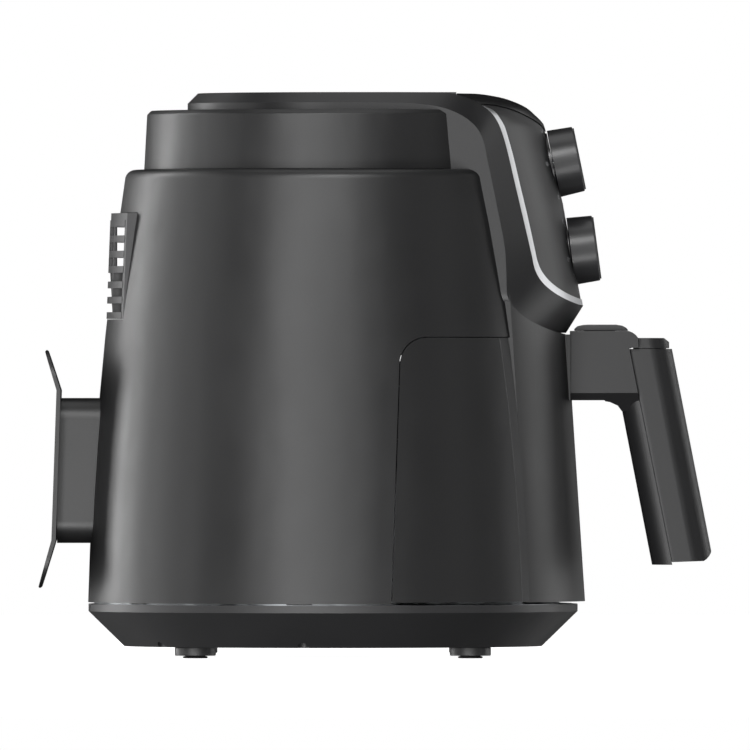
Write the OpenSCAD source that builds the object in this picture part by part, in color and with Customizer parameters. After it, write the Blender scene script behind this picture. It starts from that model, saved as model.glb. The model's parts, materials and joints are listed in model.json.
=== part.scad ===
// Air fryer with a round body, a pull-out basket drawer and two dials.
// Millimetres. +Z is up, the front faces -Y, and the origin is on the table,
// below the middle of the whole appliance.
// The parts are drawn round the body's vertical axis, and stand() moves them.
// A helper that takes f works in distance towards the front from that axis.

/* [Body] */
// Outer radius of the body where it meets the base
body_r0 = 139.6; // [138.6:0.2:140.6]
// Height of the seam between the base and the body
seam_z = 31.3; // [30.9:0.1:31.6]
// Height of the flat shoulder at the top of the body
shoulder_z = 277.6; // [276.6:0.2:278.2]
// Thickness of the moulded outer walls
wall = 2.8; // [2.4:0.1:3]
// Gap at the seams between outer panels
seam_gap = 0.9; // [0.7:0.1:1.1]
// How far the round top cap lies inside the body's edge
cap_inset = 31.9; // [30:0.1:34]
// Height of the top cap's upper face
cap_top_z = 311.2; // [310:0.2:312]

/* [Base] */
// How far the base tray's edge lies inside the body's
base_inset = 0.2; // [0:0.1:1]
// Height of the underside of the base tray
base_z = 6.3; // [6:0.1:7]
// Diameter of each foot
foot_d = 23.4; // [20:0.2:26]
// Distance of the feet from the middle, across and along
foot_offset = 74; // [70:1:78]

/* [Controls] */
// Half the width of the control housing and of the drawer's front
strap_hw = 83; // [82:0.5:84]
// Height of the control housing's upper face
strap_top_z = 321.1; // [320:0.1:322]
// Half the width of the panel inside the silver trim
panel_hw = 67.2; // [66:0.2:68]
// Width of the silver trim
trim_w = 3.8; // [3.4:0.1:4.2]
// Radius of the panel's curve from side to side
panel_curve_r = 116; // [112:1:120]
// Diameter of the upper dial's knob at its foot
upper_knob_d = 38.6; // [34:0.2:40]
// Diameter of the lower dial's knob at its foot
lower_knob_d = 38.5; // [34:0.2:40]
// Height of a knob from its skirt to its face
knob_h = 14.5; // [13:0.1:16]

/* [Drawer] */
// Height of the drawer's top edge at the sides
drawer_top_z = 181.8; // [181:0.1:182.2]
// Distance of the drawer's rear edge in front of the axis
drawer_rear = 38.2; // [37:0.1:40]
// Gap between the drawer and the body round it
drawer_gap = 0.5; // [0.4:0.1:0.8]
// Radius of the front's curve from side to side
nose_curve_r = 124; // [120:1:130]
// Room between the cooking chamber and the pan
pan_room = 8; // [7.5:0.1:10]
// Room between the pan and the basket
basket_room = 7; // [6.5:0.1:9]
// Thickness of the pan's and the basket's sheet steel
sheet = 1.2; // [1:0.1:1.4]

/* [Handle] */
// Width of the grip
grip_w = 32; // [28:0.5:36]
// Width of the bracket that joins the grip to the drawer
bracket_w = 38; // [34:0.5:42]
// Lean of the grip away from the vertical, in degrees
grip_lean = 11; // [10.5:0.1:11.5]

/* [Inside] */
// Room between the body's edge and the cooking chamber
chamber_room = 27.6; // [27:0.1:29]
// Height of the plate over the cooking chamber
chamber_top_z = 212; // [211:0.5:213]
// Radius of the hot-air fan
fan_r = 76; // [70:1:80]
// Diameter of the motor's shaft
shaft_d = 6; // [5:0.5:8]
// Radial running clearance of the shaft in its bearing
run_gap = 0.06; // [0.03:0.01:0.1]
// Diameter of the heating element's tube
element_d = 6.4; // [6:0.2:7]

/* [Hidden] */
$fn = 96;

// How far the body's axis stands behind the origin
axis_y = 23.7;
// The body leans in as it rises, a little more towards the top.
body_lean = 0.02525;
body_belly = 0.0002576;
fit_gap = 0.3;
base_r = body_r0 - base_inset;
cap_r = body_r0 - cap_inset;
chamber_r = body_r0 - chamber_room;
pan_r = chamber_r - pan_room;
basket_r = pan_r - basket_room;
shoulder_round = 6;
panel_mid_z = 257.6;
nose_foot_f = body_r0 + 4;
panel_mid_f = nose_foot_f - 11.7;
panel_lean_up = 14.4;
panel_lean_down = 11;
bevel_in = 11;
bevel_back = 13;
trim_bottom_z = 200.1;
strap_bottom_z = 184.7;
u_depth = 25;
u_power = 2.6;
crown_low_z = 300;
crown_rise = 15;
nose_lean = 3.74;
nose_foot_z = 32.5;
nose_bottom_z = 31.9;
frame_strip = 6;
rail_top_z = 38.7;
pan_bottom_z = rail_top_z + fit_gap;
pan_rim_z = 168.5;
deck_z = pan_rim_z + fit_gap;
deck_t = 2.4;
basket_bottom_z = 52;
rim_flange = 5.5;
bracket_top_z = 185.8;
bracket_low_z = 148;
fan_z = 194;
fan_h = 14;
element_z = 188.5;
motor_z = 236;
motor_h = 32;
motor_r = 33;
vent_r = body_r0 - 11.3;
vent_hw = 48.5;
vent_deep = 11;
vent_z = [192.7, 252.8];
// Flat seat on the drawer's front that the handle's bracket stands on
seat_f = nose_foot_f - 8.5;
seat_z = 146.3;
seat_hw = 40;
button_f = seat_f + 17.9;
button_d = 15;

function body_r(z) = body_r0 - body_lean * (z - seam_z) - body_belly * pow(z - seam_z, 2);

// Points up the body's outer skin, moved in by inset.
function skin(z0, z1, inset, steps = 8) =
    [for (i = [0:steps]) let (z = z0 + (z1 - z0) * i / steps) [body_r(z) - inset, z]];

function flip(points) = [for (i = [len(points) - 1:-1:0]) points[i]];

function arc(c, r, from, to, steps = 8) =
    [for (i = [0:steps]) let (a = from + (to - from) * i / steps) c + r * [cos(a), sin(a)]];

// Lower edge of a rounded U, from left to right, as a superellipse.
function u_edge(hw, low, depth = u_depth, steps = 28) =
    [for (i = [0:steps]) let (a = 180 * i / steps, e = 2 / u_power)
        [-hw * sign(cos(a)) * pow(abs(cos(a)), e), low + depth - depth * pow(abs(sin(a)), e)]];

// A shape drawn in front distance and height, extruded across the width.
module across(width) rotate([90, 0, -90]) linear_extrude(width, center = true) children();

// A shape drawn in width and height, extruded forwards from f0 to f1.
module forward(f0, f1) translate([0, -f0, 0]) rotate([90, 0, 0]) linear_extrude(f1 - f0) children();

module at(f, z) translate([0, -f, z]) children();

// Moves a part from the body's axis to the middle of the whole footprint.
module stand() translate([0, axis_y, 0]) children();

// Turns +Z to point forwards, tipped up by tilt degrees.
module facing(tilt) rotate([90 - tilt, 0, 0]) children();

module both_sides() {
    children();
    mirror([1, 0, 0]) children();
}

module ring(r_out, r_in, h) difference() {
    cylinder(h = h, r = r_out);
    translate([0, 0, -1]) cylinder(h = h + 2, r = r_in);
}

module rounded_rect(w, d, r) {
    square([w - 2 * r, d], center = true);
    square([w, d - 2 * r], center = true);
    for (x = [-1, 1], y = [-1, 1]) translate([x * (w / 2 - r), y * (d / 2 - r)]) circle(r, $fn = 32);
}

module screw(d, length, head_d, head_h) {
    translate([0, 0, -length]) cylinder(h = length, d = d, $fn = 24);
    difference() {
        cylinder(h = head_h, d = head_d, $fn = 32);
        for (a = [0, 90]) rotate(a) translate([-head_d / 3, -0.4, head_h * 0.5])
            cube([head_d / 1.5, 0.8, head_h]);
    }
}

// Solid of revolution under the body's outer skin, grown or shrunk by grow.
module body_solid(z0, z1, grow) rotate_extrude($fn = 160)
    polygon(concat([[0, z0]], skin(z0, z1 - shoulder_round, -grow),
        arc([body_r(z1 - shoulder_round) + grow - shoulder_round, z1 - shoulder_round],
            shoulder_round, 0, 90, 6), [[0, z1]]));

// Side view of the space that the drawer takes in the body, grown by grow.
module drawer_side(grow) {
    corner = 15;
    low = seam_z - 10;
    polygon(concat(
        [[160, low], [160, drawer_top_z + grow]],
        arc([drawer_rear + corner, drawer_top_z - corner], corner + grow, 90, 180, 8),
        [[drawer_rear - 5 - grow, low]]));
}

// Outline of the control housing seen from above, with its front at f = 0.
module strap_plan(inset) intersection() {
    hw = strap_hw - inset;
    edge = panel_curve_r - sqrt(pow(panel_curve_r, 2) - pow(strap_hw - bevel_in, 2));
    union() {
        translate([0, panel_curve_r]) circle(panel_curve_r - inset, $fn = 200);
        translate([-100, panel_curve_r]) square([200, 200]);
    }
    // The bevel's line runs on past the panel's curve, so that the two cross cleanly
    past = 1.5;
    foot = edge + bevel_back;
    polygon([[-hw, 300], [-hw, foot], [-hw + past * bevel_in, foot - past * (bevel_back - inset * 0.6)],
        [-hw + past * bevel_in, -9], [hw - past * bevel_in, -9],
        [hw - past * bevel_in, foot - past * (bevel_back - inset * 0.6)], [hw, foot], [hw, 300]]);
}

// Side view of the control housing.
strap_crown_f = panel_mid_f - 48.9;
strap_crown_r = 43;
module strap_side(inset) polygon(concat(
    [[-strap_hw - 1, 150], [-strap_hw - 1, strap_top_z - inset]],
    arc([strap_crown_f, strap_top_z - strap_crown_r], strap_crown_r - inset, 90, 28, 10),
    [[panel_mid_f + 33, 250], [panel_mid_f + 33, 214], [panel_mid_f + 10.8 - inset * 0.4, trim_bottom_z + inset],
     [panel_mid_f + 6.6, 192.1 + inset], [panel_mid_f + 2.6, 186.4 + inset],
     [panel_mid_f + 0.9 - inset, strap_bottom_z + inset],
     [90, strap_bottom_z + inset], [90, 150]]));

module strap_face(inset) intersection_for(lean = [panel_lean_up, panel_lean_down])
    at(panel_mid_f, panel_mid_z) rotate([-lean, 0, 0])
        linear_extrude(500, center = true) strap_plan(inset);

strap_top_bevel = 5.8;

module strap_solid(inset) intersection() {
    hw = strap_hw - inset;
    top = strap_top_z - inset;
    edge = top - strap_top_bevel + inset * 0.4;
    strap_face(inset);
    across(2 * strap_hw + 2) strap_side(inset);
    union() {
        forward(0, 160) polygon(concat(
            [[hw, edge], [hw - strap_top_bevel, top], [-hw + strap_top_bevel, top], [-hw, edge]],
            u_edge(hw, strap_bottom_z + inset)));
        // The rear end is half round
        rotate_extrude($fn = 160)
            polygon([[0, 150], [hw, 150], [hw, edge], [hw - strap_top_bevel, top], [0, top]]);
    }
}

// A skin of the panel between two depths, with the same curve as the housing.
module panel_skin(d0, d1) difference() {
    intersection() {
        strap_face(d0);
        across(2 * strap_hw) strap_side(d0);
    }
    intersection() {
        strap_face(d1);
        across(2 * strap_hw + 2) strap_side(d1);
    }
}

// Front view of the panel's opening, grown by grow.
module panel_window(grow, top) polygon(concat(
    [[panel_hw + grow, top], [-panel_hw - grow, top]],
    u_edge(panel_hw + grow, trim_bottom_z + trim_w - grow)));

// Front view of the line where the glossy crown meets the panel.
module crown_region(shift) polygon(concat(
    [[-90, 340]],
    [for (i = [-10:10]) [8 * i, crown_low_z + shift + crown_rise * pow(8 * i / panel_hw, 2)]],
    [[90, 340]]));

module dial_place(index) {
    if (index == 0) at(panel_mid_f + 8, 283.9) facing(11.5) translate([0, 0, -knob_h]) children();
    if (index == 1) at(panel_mid_f + 18, 233.1) facing(7.6) translate([0, 0, -knob_h]) children();
}

dial_disc_d = 36;
// Room for the disc behind a knob, and for the knob's foot
module dial_recess() {
    translate([0, 0, -3.2]) cylinder(h = 30, d = dial_disc_d + 2 * fit_gap);
    translate([0, 0, -fit_gap]) cylinder(h = 30, d = max(upper_knob_d, lower_knob_d) + 4 * fit_gap);
}

spindle_d = 6;
bush_d = spindle_d + 2 * run_gap;

module body_shell() color("#1d1d1f") stand() {
    lip_r = cap_r - 12;
    difference() {
        body_solid(seam_z, shoulder_z, 0);
        body_solid(seam_z - 5, shoulder_z - wall, -wall);
        translate([0, 0, shoulder_z - 10]) cylinder(h = 20, r = lip_r);
        across(320) drawer_side(drawer_gap);
        translate([0, -110, 244]) cube([124, 60, 92], center = true);
        translate([0, 120, (vent_z[0] + vent_z[1]) / 2])
            cube([2 * (vent_hw + fit_gap), 60, vent_z[1] - vent_z[0] + 2 * fit_gap], center = true);
        rotate(inlet_angle) at(-130, inlet_z) rotate([90, 0, 0])
            cylinder(h = 40, r = inlet_hole_r, center = true);
        cord_screw_places() cylinder(h = 40, d = cord_screw_d + 2 * screw_room, $fn = 24);
    }
    // Lugs that take the base screws
    for (a = lug_angles) rotate(a) difference() {
        translate([-lug_w / 2, lug_r - 4, seam_z - fit_gap]) cube([lug_w, body_r0 - wall - lug_r + 5, 10]);
        translate([0, lug_r, seam_z - 5]) cylinder(h = 30, d = 3.4, $fn = 24);
    }
}

module top_cap() color("#1d1d1f") stand() difference() {
    bevel = 2.3;
    low_r = cap_r;
    high_r = cap_r - 1.7;
    rotate_extrude($fn = 160) polygon([[0, shoulder_z], [low_r, shoulder_z],
        [high_r, cap_top_z - bevel], [high_r - bevel, cap_top_z], [0, cap_top_z]]);
    translate([0, 0, shoulder_z - 1]) cylinder(h = cap_top_z - wall - shoulder_z + 1, r = cap_r - 5);
    // The front of the cap is open where the controls reach through it
    translate([0, -105, shoulder_z + 10]) cube([124, 62, 40], center = true);
}

inlet_hole_r = 7;
inlet_z = 46;
// Turns the cord's inlet round the body, so that the cord clears the bracket
inlet_angle = -20;
inlet_stand = 3;
lug_angles = [-82, -36, 36, 82];
lug_r = body_r0 - 21;
lug_w = 14;
base_chamfer_r = base_r - 20.3;
base_chamfer_z = 26.2;

floor_top_z = seam_z - 0.6;
floor_t = 2.2;

module base_tray() color("#1b1b1d") stand() difference() {
    union() {
        rotate_extrude($fn = 160) polygon([
            [0, base_z], [base_chamfer_r, base_z], [base_r, base_chamfer_z], [base_r, seam_z - seam_gap],
            [base_r - wall, seam_z - seam_gap], [base_r - wall, base_chamfer_z + 0.6],
            [base_chamfer_r - 1.2, base_z + wall], [0, base_z + wall]]);
        for (a = lug_angles) rotate(a) translate([0, lug_r, base_z + wall + 1])
            cylinder(h = floor_top_z - floor_t - base_z - wall - 1, d = 8.4, $fn = 32);
    }
    for (a = lug_angles) rotate(a) translate([0, lug_r, 0]) {
        cylinder(h = 60, d = 3.8, $fn = 24);
        cylinder(h = base_z + 6, d = 6.8, $fn = 24);
    }
    // Air slots in the underside
    for (i = [-4:4]) translate([i * 9, 0, base_z]) cube([3.4, 64 - 5 * abs(i), 20], center = true);
}

module chamber_floor() color("#2a2a2c") stand() {
    top = floor_top_z;
    difference() {
        translate([0, 0, top - floor_t]) cylinder(h = floor_t, r = base_r - wall - fit_gap);
        for (a = lug_angles) rotate(a) translate([0, lug_r, 0]) cylinder(h = 60, d = 3.8, $fn = 24);
    }
    // Lip behind the seam between the base and the body
    difference() {
        translate([0, 0, top]) ring(base_r - wall - 1.5 * fit_gap, base_r - wall - 3, 2.3);
        for (a = lug_angles) rotate(a) translate([-lug_w / 2 - fit_gap, 100, 0]) cube([lug_w + 2 * fit_gap, 60, 60]);
        translate([-200, -500 - drawer_rear + 5, 0]) cube([400, 500, 100]);
    }
    // Posts that stand the floor on the base
    for (a = [0:60:300]) rotate(a + 15) translate([70, 0, base_z + wall])
        cylinder(h = top - floor_t - base_z - wall, d = 10, $fn = 32);
    // Rails that the pan slides on
    for (x = [-60, 60]) translate([x - 2, -108, top]) cube([4, 190, rail_top_z - top]);
    // Low guide under the drawer's front
    for (x = [-30, 30]) translate([x - 5, -129, top]) cube([10, 9.5, 0.7]);
}

module feet() color("#222224") stand() for (x = [-1, 1], y = [-1, 1])
    translate([x * (foot_offset - 4), y * (foot_offset + 4), 1.5]) difference() {
        cylinder(h = base_z - 1.5, d = foot_d);
        translate([0, 0, -1]) cylinder(h = 2.6, d = 12);
    }

module foot_pads() color("#111112") stand() for (x = [-1, 1], y = [-1, 1])
    translate([x * (foot_offset - 4), y * (foot_offset + 4), 0]) {
        cylinder(h = 3.1, d = 11.4);
        translate([0, 0, 0]) cylinder(h = 1.2, d = 14);
    }

module base_screws() color("#8d8f92") stand() for (a = lug_angles)
    rotate(a) translate([0, lug_r, base_z + 6]) mirror([0, 0, 1]) screw(3.3, 26, 6.4, 2);

module control_housing() color("#1f1f21") stand() difference() {
    strap_solid(0);
    intersection() {
        strap_solid(wall);
        translate([0, 0, 100]) cylinder(h = 300, r = 200);
    }
    body_solid(100, shoulder_z, fit_gap);
    translate([0, 0, shoulder_z - 5]) cylinder(h = cap_top_z - shoulder_z + 5, r = cap_r + fit_gap);
    translate([0, 0, 100]) cylinder(h = shoulder_z - 100 + fit_gap, r = cap_r + fit_gap);
    // Window for the panel, its trim and the crown
    intersection() {
        forward(60, 200) panel_window(trim_w + 0.2, 340);
        union() {
            translate([0, 0, 100]) at(150, 0) cube([200, 160, 460], center = true);
        }
    }
}

module control_panel() color("#262628") stand() difference() {
    intersection() {
        panel_skin(0.6, 3.4);
        forward(60, 200) difference() {
            panel_window(-0.15, 330);
            crown_region(-0.3);
        }
    }
    for (i = [0, 1]) dial_place(i) {
        translate([0, 0, -30]) cylinder(h = 60, d = bush_d + 3);
        dial_recess();
    }
}

module crown_cover() color("#101012") stand() difference() {
    intersection() {
        panel_skin(0.3, 3.1);
        forward(70.5, 200) intersection() {
            panel_window(trim_w, 340);
            crown_region(0);
        }
    }
    dial_place(0) dial_recess();
}

module trim_strip() color("#b9bbbe") stand() intersection() {
    panel_skin(0, 3.2);
    forward(60, 200) difference() {
        panel_window(trim_w, 400);
        panel_window(0, 400);
        crown_region(-0.2);
    }
}

module dial_discs() color("#0e0e10") stand() for (i = [0, 1]) dial_place(i) difference() {
    translate([0, 0, -2.8]) cylinder(h = 2.4, d = dial_disc_d);
    translate([0, 0, -10]) cylinder(h = 30, d = bush_d + 3);
}

// The vent's outer face leans less than the body, so that it stands out at its top
vent_low_r = vent_r + 0.5;
vent_high_r = vent_r - 1.9;
vent_bar = 4.3;
slat_count = 7;
slat_h = 3.8;
slat_pitch = (vent_z[1] - vent_bar - slat_h - vent_z[0] + 0.3) / (slat_count - 1);
rib_pitch = 9;
// How far behind the axis the ribs' flat backs lie
rib_back = vent_r - 5;

module vent_face(grow) translate([0, 0, vent_z[0] - 1])
    cylinder(h = vent_z[1] - vent_z[0] + 2, r1 = vent_low_r + grow, r2 = vent_high_r + grow, $fn = 160);

module rear_vent_grille() color("#242426") stand() {
    rim = 3;
    low = vent_z[0];
    high = vent_z[1];
    inner_r = vent_r - vent_deep;
    cheek_top = low + 3 * slat_pitch + 0.5;
    // Rim round the opening, which the lowest slat closes
    intersection() {
        difference() {
            translate([0, 0, low]) ring(vent_r + 5, inner_r, high - low);
            translate([-vent_hw + rim, 90, low - 1]) cube([2 * (vent_hw - rim), 60, high - low - vent_bar + 1]);
        }
        translate([-vent_hw, 60, low]) cube([2 * vent_hw, 100, high - low]);
        vent_face(0);
    }
    intersection() {
        union() {
            for (i = [0:slat_count - 1]) translate([0, 0, low + slat_pitch * i])
                ring(vent_r + 5, inner_r + 1, slat_h);
            for (i = [-3:3]) translate([rib_pitch * i, 0, 0]) rotate([90, 0, 90]) linear_extrude(1.6, center = true)
                polygon([[rib_back, low], [rib_back + 2, low], [rib_back + 3.6, cheek_top],
                    [vent_r + 5, cheek_top + 0.5], [vent_r + 5, high - vent_bar], [rib_back, high - vent_bar]]);
            // Cheeks beside the mouth of the air duct
            both_sides() translate([33, inner_r + 0.2, low]) cube([1.6, rib_back - inner_r, cheek_top - low]);
        }
        translate([-vent_hw + rim - 1, 60, low]) cube([2 * (vent_hw - rim + 1), 100, high - low - vent_bar + 1]);
        vent_face(0.4);
    }
}

bracket_stem_z = [65, 147.6];
bracket_stem_hw = 20;
stem_round = 13;
stem_wall = 4;
cord_plate_w = 62;
cord_plate_z = [39.3, 175];
cord_mid_z = (bracket_stem_z[0] + bracket_stem_z[1]) / 2;
// How far behind the axis the heads of the bracket's screws seat
cord_screw_back = body_r0 + 16;
cord_screw_d = 3.4;
screw_room = 0.1;

// Points given by their distance behind the body's edge.
function behind(points) = [for (p = points) [-body_r0 - p[0], p[1]]];

// Front view of the stem, moved in by inset.
module stem_view(inset) translate([0, cord_mid_z]) rounded_rect(2 * (bracket_stem_hw - inset),
    bracket_stem_z[1] - bracket_stem_z[0] - 2 * inset, stem_round - inset);

// Turns +Z to point into the body at each of the bracket's screws.
module cord_screw_places() for (z = [-27, 27])
    at(-cord_screw_back, cord_mid_z + z) rotate([90, 0, 0]) children();

module cord_bracket() color("#1d1d1f") stand() difference() {
    union() {
        // Plate with its two flared ends
        intersection() {
            across(cord_plate_w) polygon(behind([
                [24.3, 174], [23.5, 175], [22.6, 174.4], [15.3, 152], [18.1, 66.7],
                [26.3, 40], [27.2, 39.3], [28.1, 40], [20.6, 66.7], [17.7, 152]]));
            forward(-body_r0 - 30, -body_r0 - 10) translate([0, (cord_plate_z[0] + cord_plate_z[1]) / 2])
                rounded_rect(cord_plate_w, cord_plate_z[1] - cord_plate_z[0], 18);
        }
        // Hollow stem from the plate to the body
        difference() {
            forward(-body_r0 - 17.6, -body_r0 + 40) stem_view(0);
            body_solid(seam_z, shoulder_z, 0);
        }
    }
    forward(-body_r0 - 11.4, -body_r0 + 50) stem_view(stem_wall);
    cord_screw_places() translate([0, 0, -20]) {
        cylinder(h = 60, d = cord_screw_d + 2 * screw_room, $fn = 24);
        cylinder(h = 20, d = 7.6, $fn = 32);
    }
}

module cord_bracket_screws() color("#8d8f92") stand()
    cord_screw_places() mirror([0, 0, 1]) screw(cord_screw_d, 26, 7, 1.6);

gland_bore_r = 3.6;
gland_length = 22;

module mains_inlet() color("#151516") stand() rotate(inlet_angle) at(-body_r(inlet_z) - inlet_stand, inlet_z)
rotate([-90, 0, 0]) difference() {
    flange_t = 2.2;
    union() {
        translate([0, 0, -gland_length]) cylinder(h = gland_length, r = inlet_hole_r - 0.2);
        translate([0, 0, -flange_t]) cylinder(h = flange_t, r = inlet_hole_r + 1.8);
        translate([0, 0, -inlet_stand - wall - 1 - flange_t]) cylinder(h = flange_t, r = inlet_hole_r + 3);
    }
    translate([0, 0, -gland_length - 1]) cylinder(h = gland_length + 2, r = gland_bore_r);
}

// Plan of the cooking chamber: round behind, straight-sided towards the front.
module chamber_plan(r) {
    circle(r, $fn = 160);
    translate([-r, -drawer_rear + 2.4]) square([2 * r, drawer_rear - 2.4]);
}

module chamber_liner() color("#9fa1a4") stand() difference() {
    low = seam_z - 0.6;
    difference() {
        translate([0, 0, low]) linear_extrude(drawer_top_z + 2 - low) chamber_plan(chamber_r + sheet);
        translate([0, 0, low - 1]) linear_extrude(200) chamber_plan(chamber_r);
    }
    translate([-200, -300 - drawer_rear + 2.4, 0]) cube([400, 300, 300]);
}

module chamber_dome() color("#a4a6a9") stand() {
    low = drawer_top_z + 2.3;
    difference() {
        translate([0, 0, low]) cylinder(h = chamber_top_z - low, r = chamber_r + sheet, $fn = 160);
        translate([0, 0, low - 1]) cylinder(h = chamber_top_z - low + 1 - sheet, r = chamber_r, $fn = 160);
        cylinder(h = 400, d = 14);
        translate([0, chamber_r, (vent_z[0] + chamber_top_z) / 2]) cube([60, 40, 9], center = true);
        for (a = element_leg_angles) rotate(a) translate([element_turn_r[3], 0, 0])
            cylinder(h = 400, d = element_d + 0.6, $fn = 32);
        translate(bulb_place) cylinder(h = 400, d = bulb_d + 0.5, $fn = 32);
    }
    // Skirt that closes the front of the chamber above the drawer
    difference() {
        translate([0, 0, dome_skirt_z]) ring(chamber_r + sheet, chamber_r, low - dome_skirt_z + 1);
        translate([-200, -drawer_rear + 1.6, 0]) cube([400, 300, 400]);
    }
    // Ledge that the dome stands on
    difference() {
        translate([0, 0, low]) ring(body_r(low) - wall - fit_gap, chamber_r, sheet);
        rotate(switch_angle) translate([-4, 119, 0]) cube([8, 20, 400]);
    }
}

dome_skirt_z = drawer_top_z - 2.3;
bulb_place = [60, -66, 0];
bulb_d = 4.8;
switch_angle = 205;

element_turn_r = [42, 58, 74, 90];
element_leg_angles = [320, 340];

module heating_element() color("#4a4a4d") stand() {
    for (i = [0:3]) translate([0, 0, element_z]) rotate_extrude(angle = element_leg_angles[i == 0 ? 1 : 0])
        translate([element_turn_r[i], 0]) circle(d = element_d, $fn = 24);
    for (i = [0:2]) rotate(i % 2 == 0 ? 0 : element_leg_angles[0])
        element_arm(element_turn_r[i], element_turn_r[i + 1]);
    rotate(element_leg_angles[1]) element_arm(element_turn_r[0], element_turn_r[3]);
    // Legs up through the chamber's top to the terminals
    for (a = element_leg_angles) rotate(a) translate([element_turn_r[3], 0, element_z])
        cylinder(h = chamber_top_z + 10 - element_z, d = element_d - 0.4, $fn = 24);
}

module element_arm(r0, r1) translate([r0 - 1, 0, element_z]) rotate([0, 90, 0])
    cylinder(h = r1 - r0 + 2, d = element_d - 1, $fn = 24);

module element_clips() color("#b0b2b5") stand() for (a = [60, 180, 270]) rotate(a) {
    translate([38, -4, element_z + element_d / 2 + 0.2]) cube([57, 8, 1]);
    translate([84, -4, element_z + element_d / 2 + 0.2])
        cube([1.2, 8, chamber_top_z - sheet - element_z - element_d / 2 - 0.4]);
}

module motor() color("#7d7f82") stand() difference() {
    union() {
        translate([0, 0, motor_z]) cylinder(h = motor_h, r = motor_r);
        translate([0, 0, motor_z - 3]) cylinder(h = motor_h + 8, r = 11);
        translate([-motor_r - 5, -16, motor_z + 6]) cube([20, 32, motor_h - 12]);
    }
    cylinder(h = 400, d = shaft_d + 2 * run_gap);
}

module motor_bracket() color("#b4b6b8") stand() difference() {
    union() {
        translate([0, 0, motor_z - 5.3]) cylinder(h = 2, r = motor_r + 12);
        for (a = [45:90:315]) rotate(a) translate([motor_r + 2, -6, chamber_top_z + 0.1])
            cube([9, 12, motor_z - 5.3 - chamber_top_z]);
        for (a = [45:90:315]) rotate(a) translate([motor_r + 6, 0, motor_z - 4])
            cylinder(h = motor_h + 6, d = 6, $fn = 24);
    }
    cylinder(h = 400, r = 11.5);
}

module motor_screws() color("#8d8f92") stand() for (a = [45:90:315])
    rotate(a) translate([motor_r + 6, 0, motor_z + motor_h + 2.1]) screw(2.6, 0.1, 6, 2);

duct_w = 68;

module air_duct() color("#a9abad") stand() {
    // Channel from the dome's rear to the vent
    translate([0, 0, vent_z[0] + 4]) difference() {
        h = chamber_top_z - vent_z[0] - 8;
        translate([-duct_w / 2, 0, 0]) cube([duct_w, vent_r - vent_deep - 0.2, h]);
        translate([-duct_w / 2 + 1.2, -1, 1.2]) cube([duct_w - 2.4, 2 * body_r0, h - 2.4]);
        translate([0, 0, -1]) cylinder(h = h + 2, r = chamber_r + sheet + fit_gap);
        translate([0, 0, -1]) ring(200, vent_r - vent_deep - fit_gap, h + 2);
    }
}

// Depth of the control bracket's face behind the foot of each knob
control_back = 8.4;
control_plate_t = 1.2;

module control_case(index, size, depth) dial_place(index) difference() {
    face = -control_back - control_plate_t - 0.1;
    translate([-size / 2, -size / 2, face - depth]) cube([size, size, depth]);
    translate([0, 0, face - depth - 1]) cylinder(h = depth + 4, d = bush_d);
}

module thermostat() color("#c9c9c4") stand() {
    control_case(0, 32, 24);
    // Sensing bulb through the chamber's top
    translate(bulb_place + [0, 0, chamber_top_z - 9]) cylinder(h = 24, d = bulb_d, $fn = 24);
    translate(bulb_place + [0, 0, chamber_top_z + 0.1]) ring(6, bulb_d / 2 - 0.2, 2);
}

module timer() color("#d8d6cc") stand() control_case(1, 28, 24);

module control_bracket() color("#b4b6b8") stand() difference() {
    for (i = [0, 1]) dial_place(i) translate([-24, i == 0 ? -27 : -20, -control_back - control_plate_t])
        cube([48, 47, control_plate_t]);
    for (i = [0, 1]) dial_place(i) cylinder(h = 60, d = bush_d + 1, center = true);
}

module door_switch() color("#1a1a1c") stand() rotate(switch_angle)
    translate([0, 0, drawer_top_z + 2.3 + sheet + 0.1]) {
        translate([-11, 114.2, 0]) cube([22, 10, 14]);
        // Plunger that the drawer's top edge presses
        translate([-2, 121, -3.1]) cube([4, 3, 5]);
    }

module thermal_fuse() color("#d9d4c4") stand() translate([-52, 40, chamber_top_z + 0.1]) {
    cube([22, 9, 6]);
    translate([-7, 3.4, 2]) cube([36, 2.2, 1]);
}

module terminal_block() color("#cfd0cc") stand() difference() {
    translate([30, 60, chamber_top_z + 0.1]) cube([32, 14, 14]);
    for (i = [0:2]) translate([36 + 10 * i, 67, chamber_top_z + 6]) cylinder(h = 20, d = 5, $fn = 24);
}

module fan_impeller() color("#8f9194") stand() {
    blades = 10;
    hub_r = 12;
    difference() {
        union() {
            translate([0, 0, fan_z + fan_h - 1.2]) cylinder(h = 1.2, r = fan_r);
            translate([0, 0, fan_z + 4]) cylinder(h = fan_h - 4, r = hub_r);
            for (i = [0:blades - 1]) rotate(360 / blades * i) translate([hub_r - 1, 0, fan_z])
                rotate([0, 0, 18]) translate([0, -0.6, 0]) cube([fan_r - hub_r - 6, 1.2, fan_h - 1]);
        }
        translate([0, 0, fan_z]) cylinder(h = 40, d = shaft_d);
    }
}

module motor_shaft() color("#c4c6c8") stand() {
    translate([0, 0, fan_z + 1]) cylinder(h = motor_z + motor_h + 8 - fan_z, d = shaft_d);
    translate([0, 0, fan_z - 5]) cylinder(h = 6, d = 11, $fn = 6);
}

module cooling_fan() color("#2c2c2e") stand() difference() {
    low = chamber_top_z + 4;
    union() {
        translate([0, 0, low]) cylinder(h = 9, r = 9);
        translate([0, 0, low]) cylinder(h = 1.2, r = 30);
        for (i = [0:7]) rotate(45 * i) translate([8, -0.6, low]) cube([21, 1.2, 9]);
    }
    translate([0, 0, low - 1]) cylinder(h = 40, d = shaft_d);
}

knob_taper = 0.6;
knob_edge = 0.6;
knob_bar_w = 6;

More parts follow.
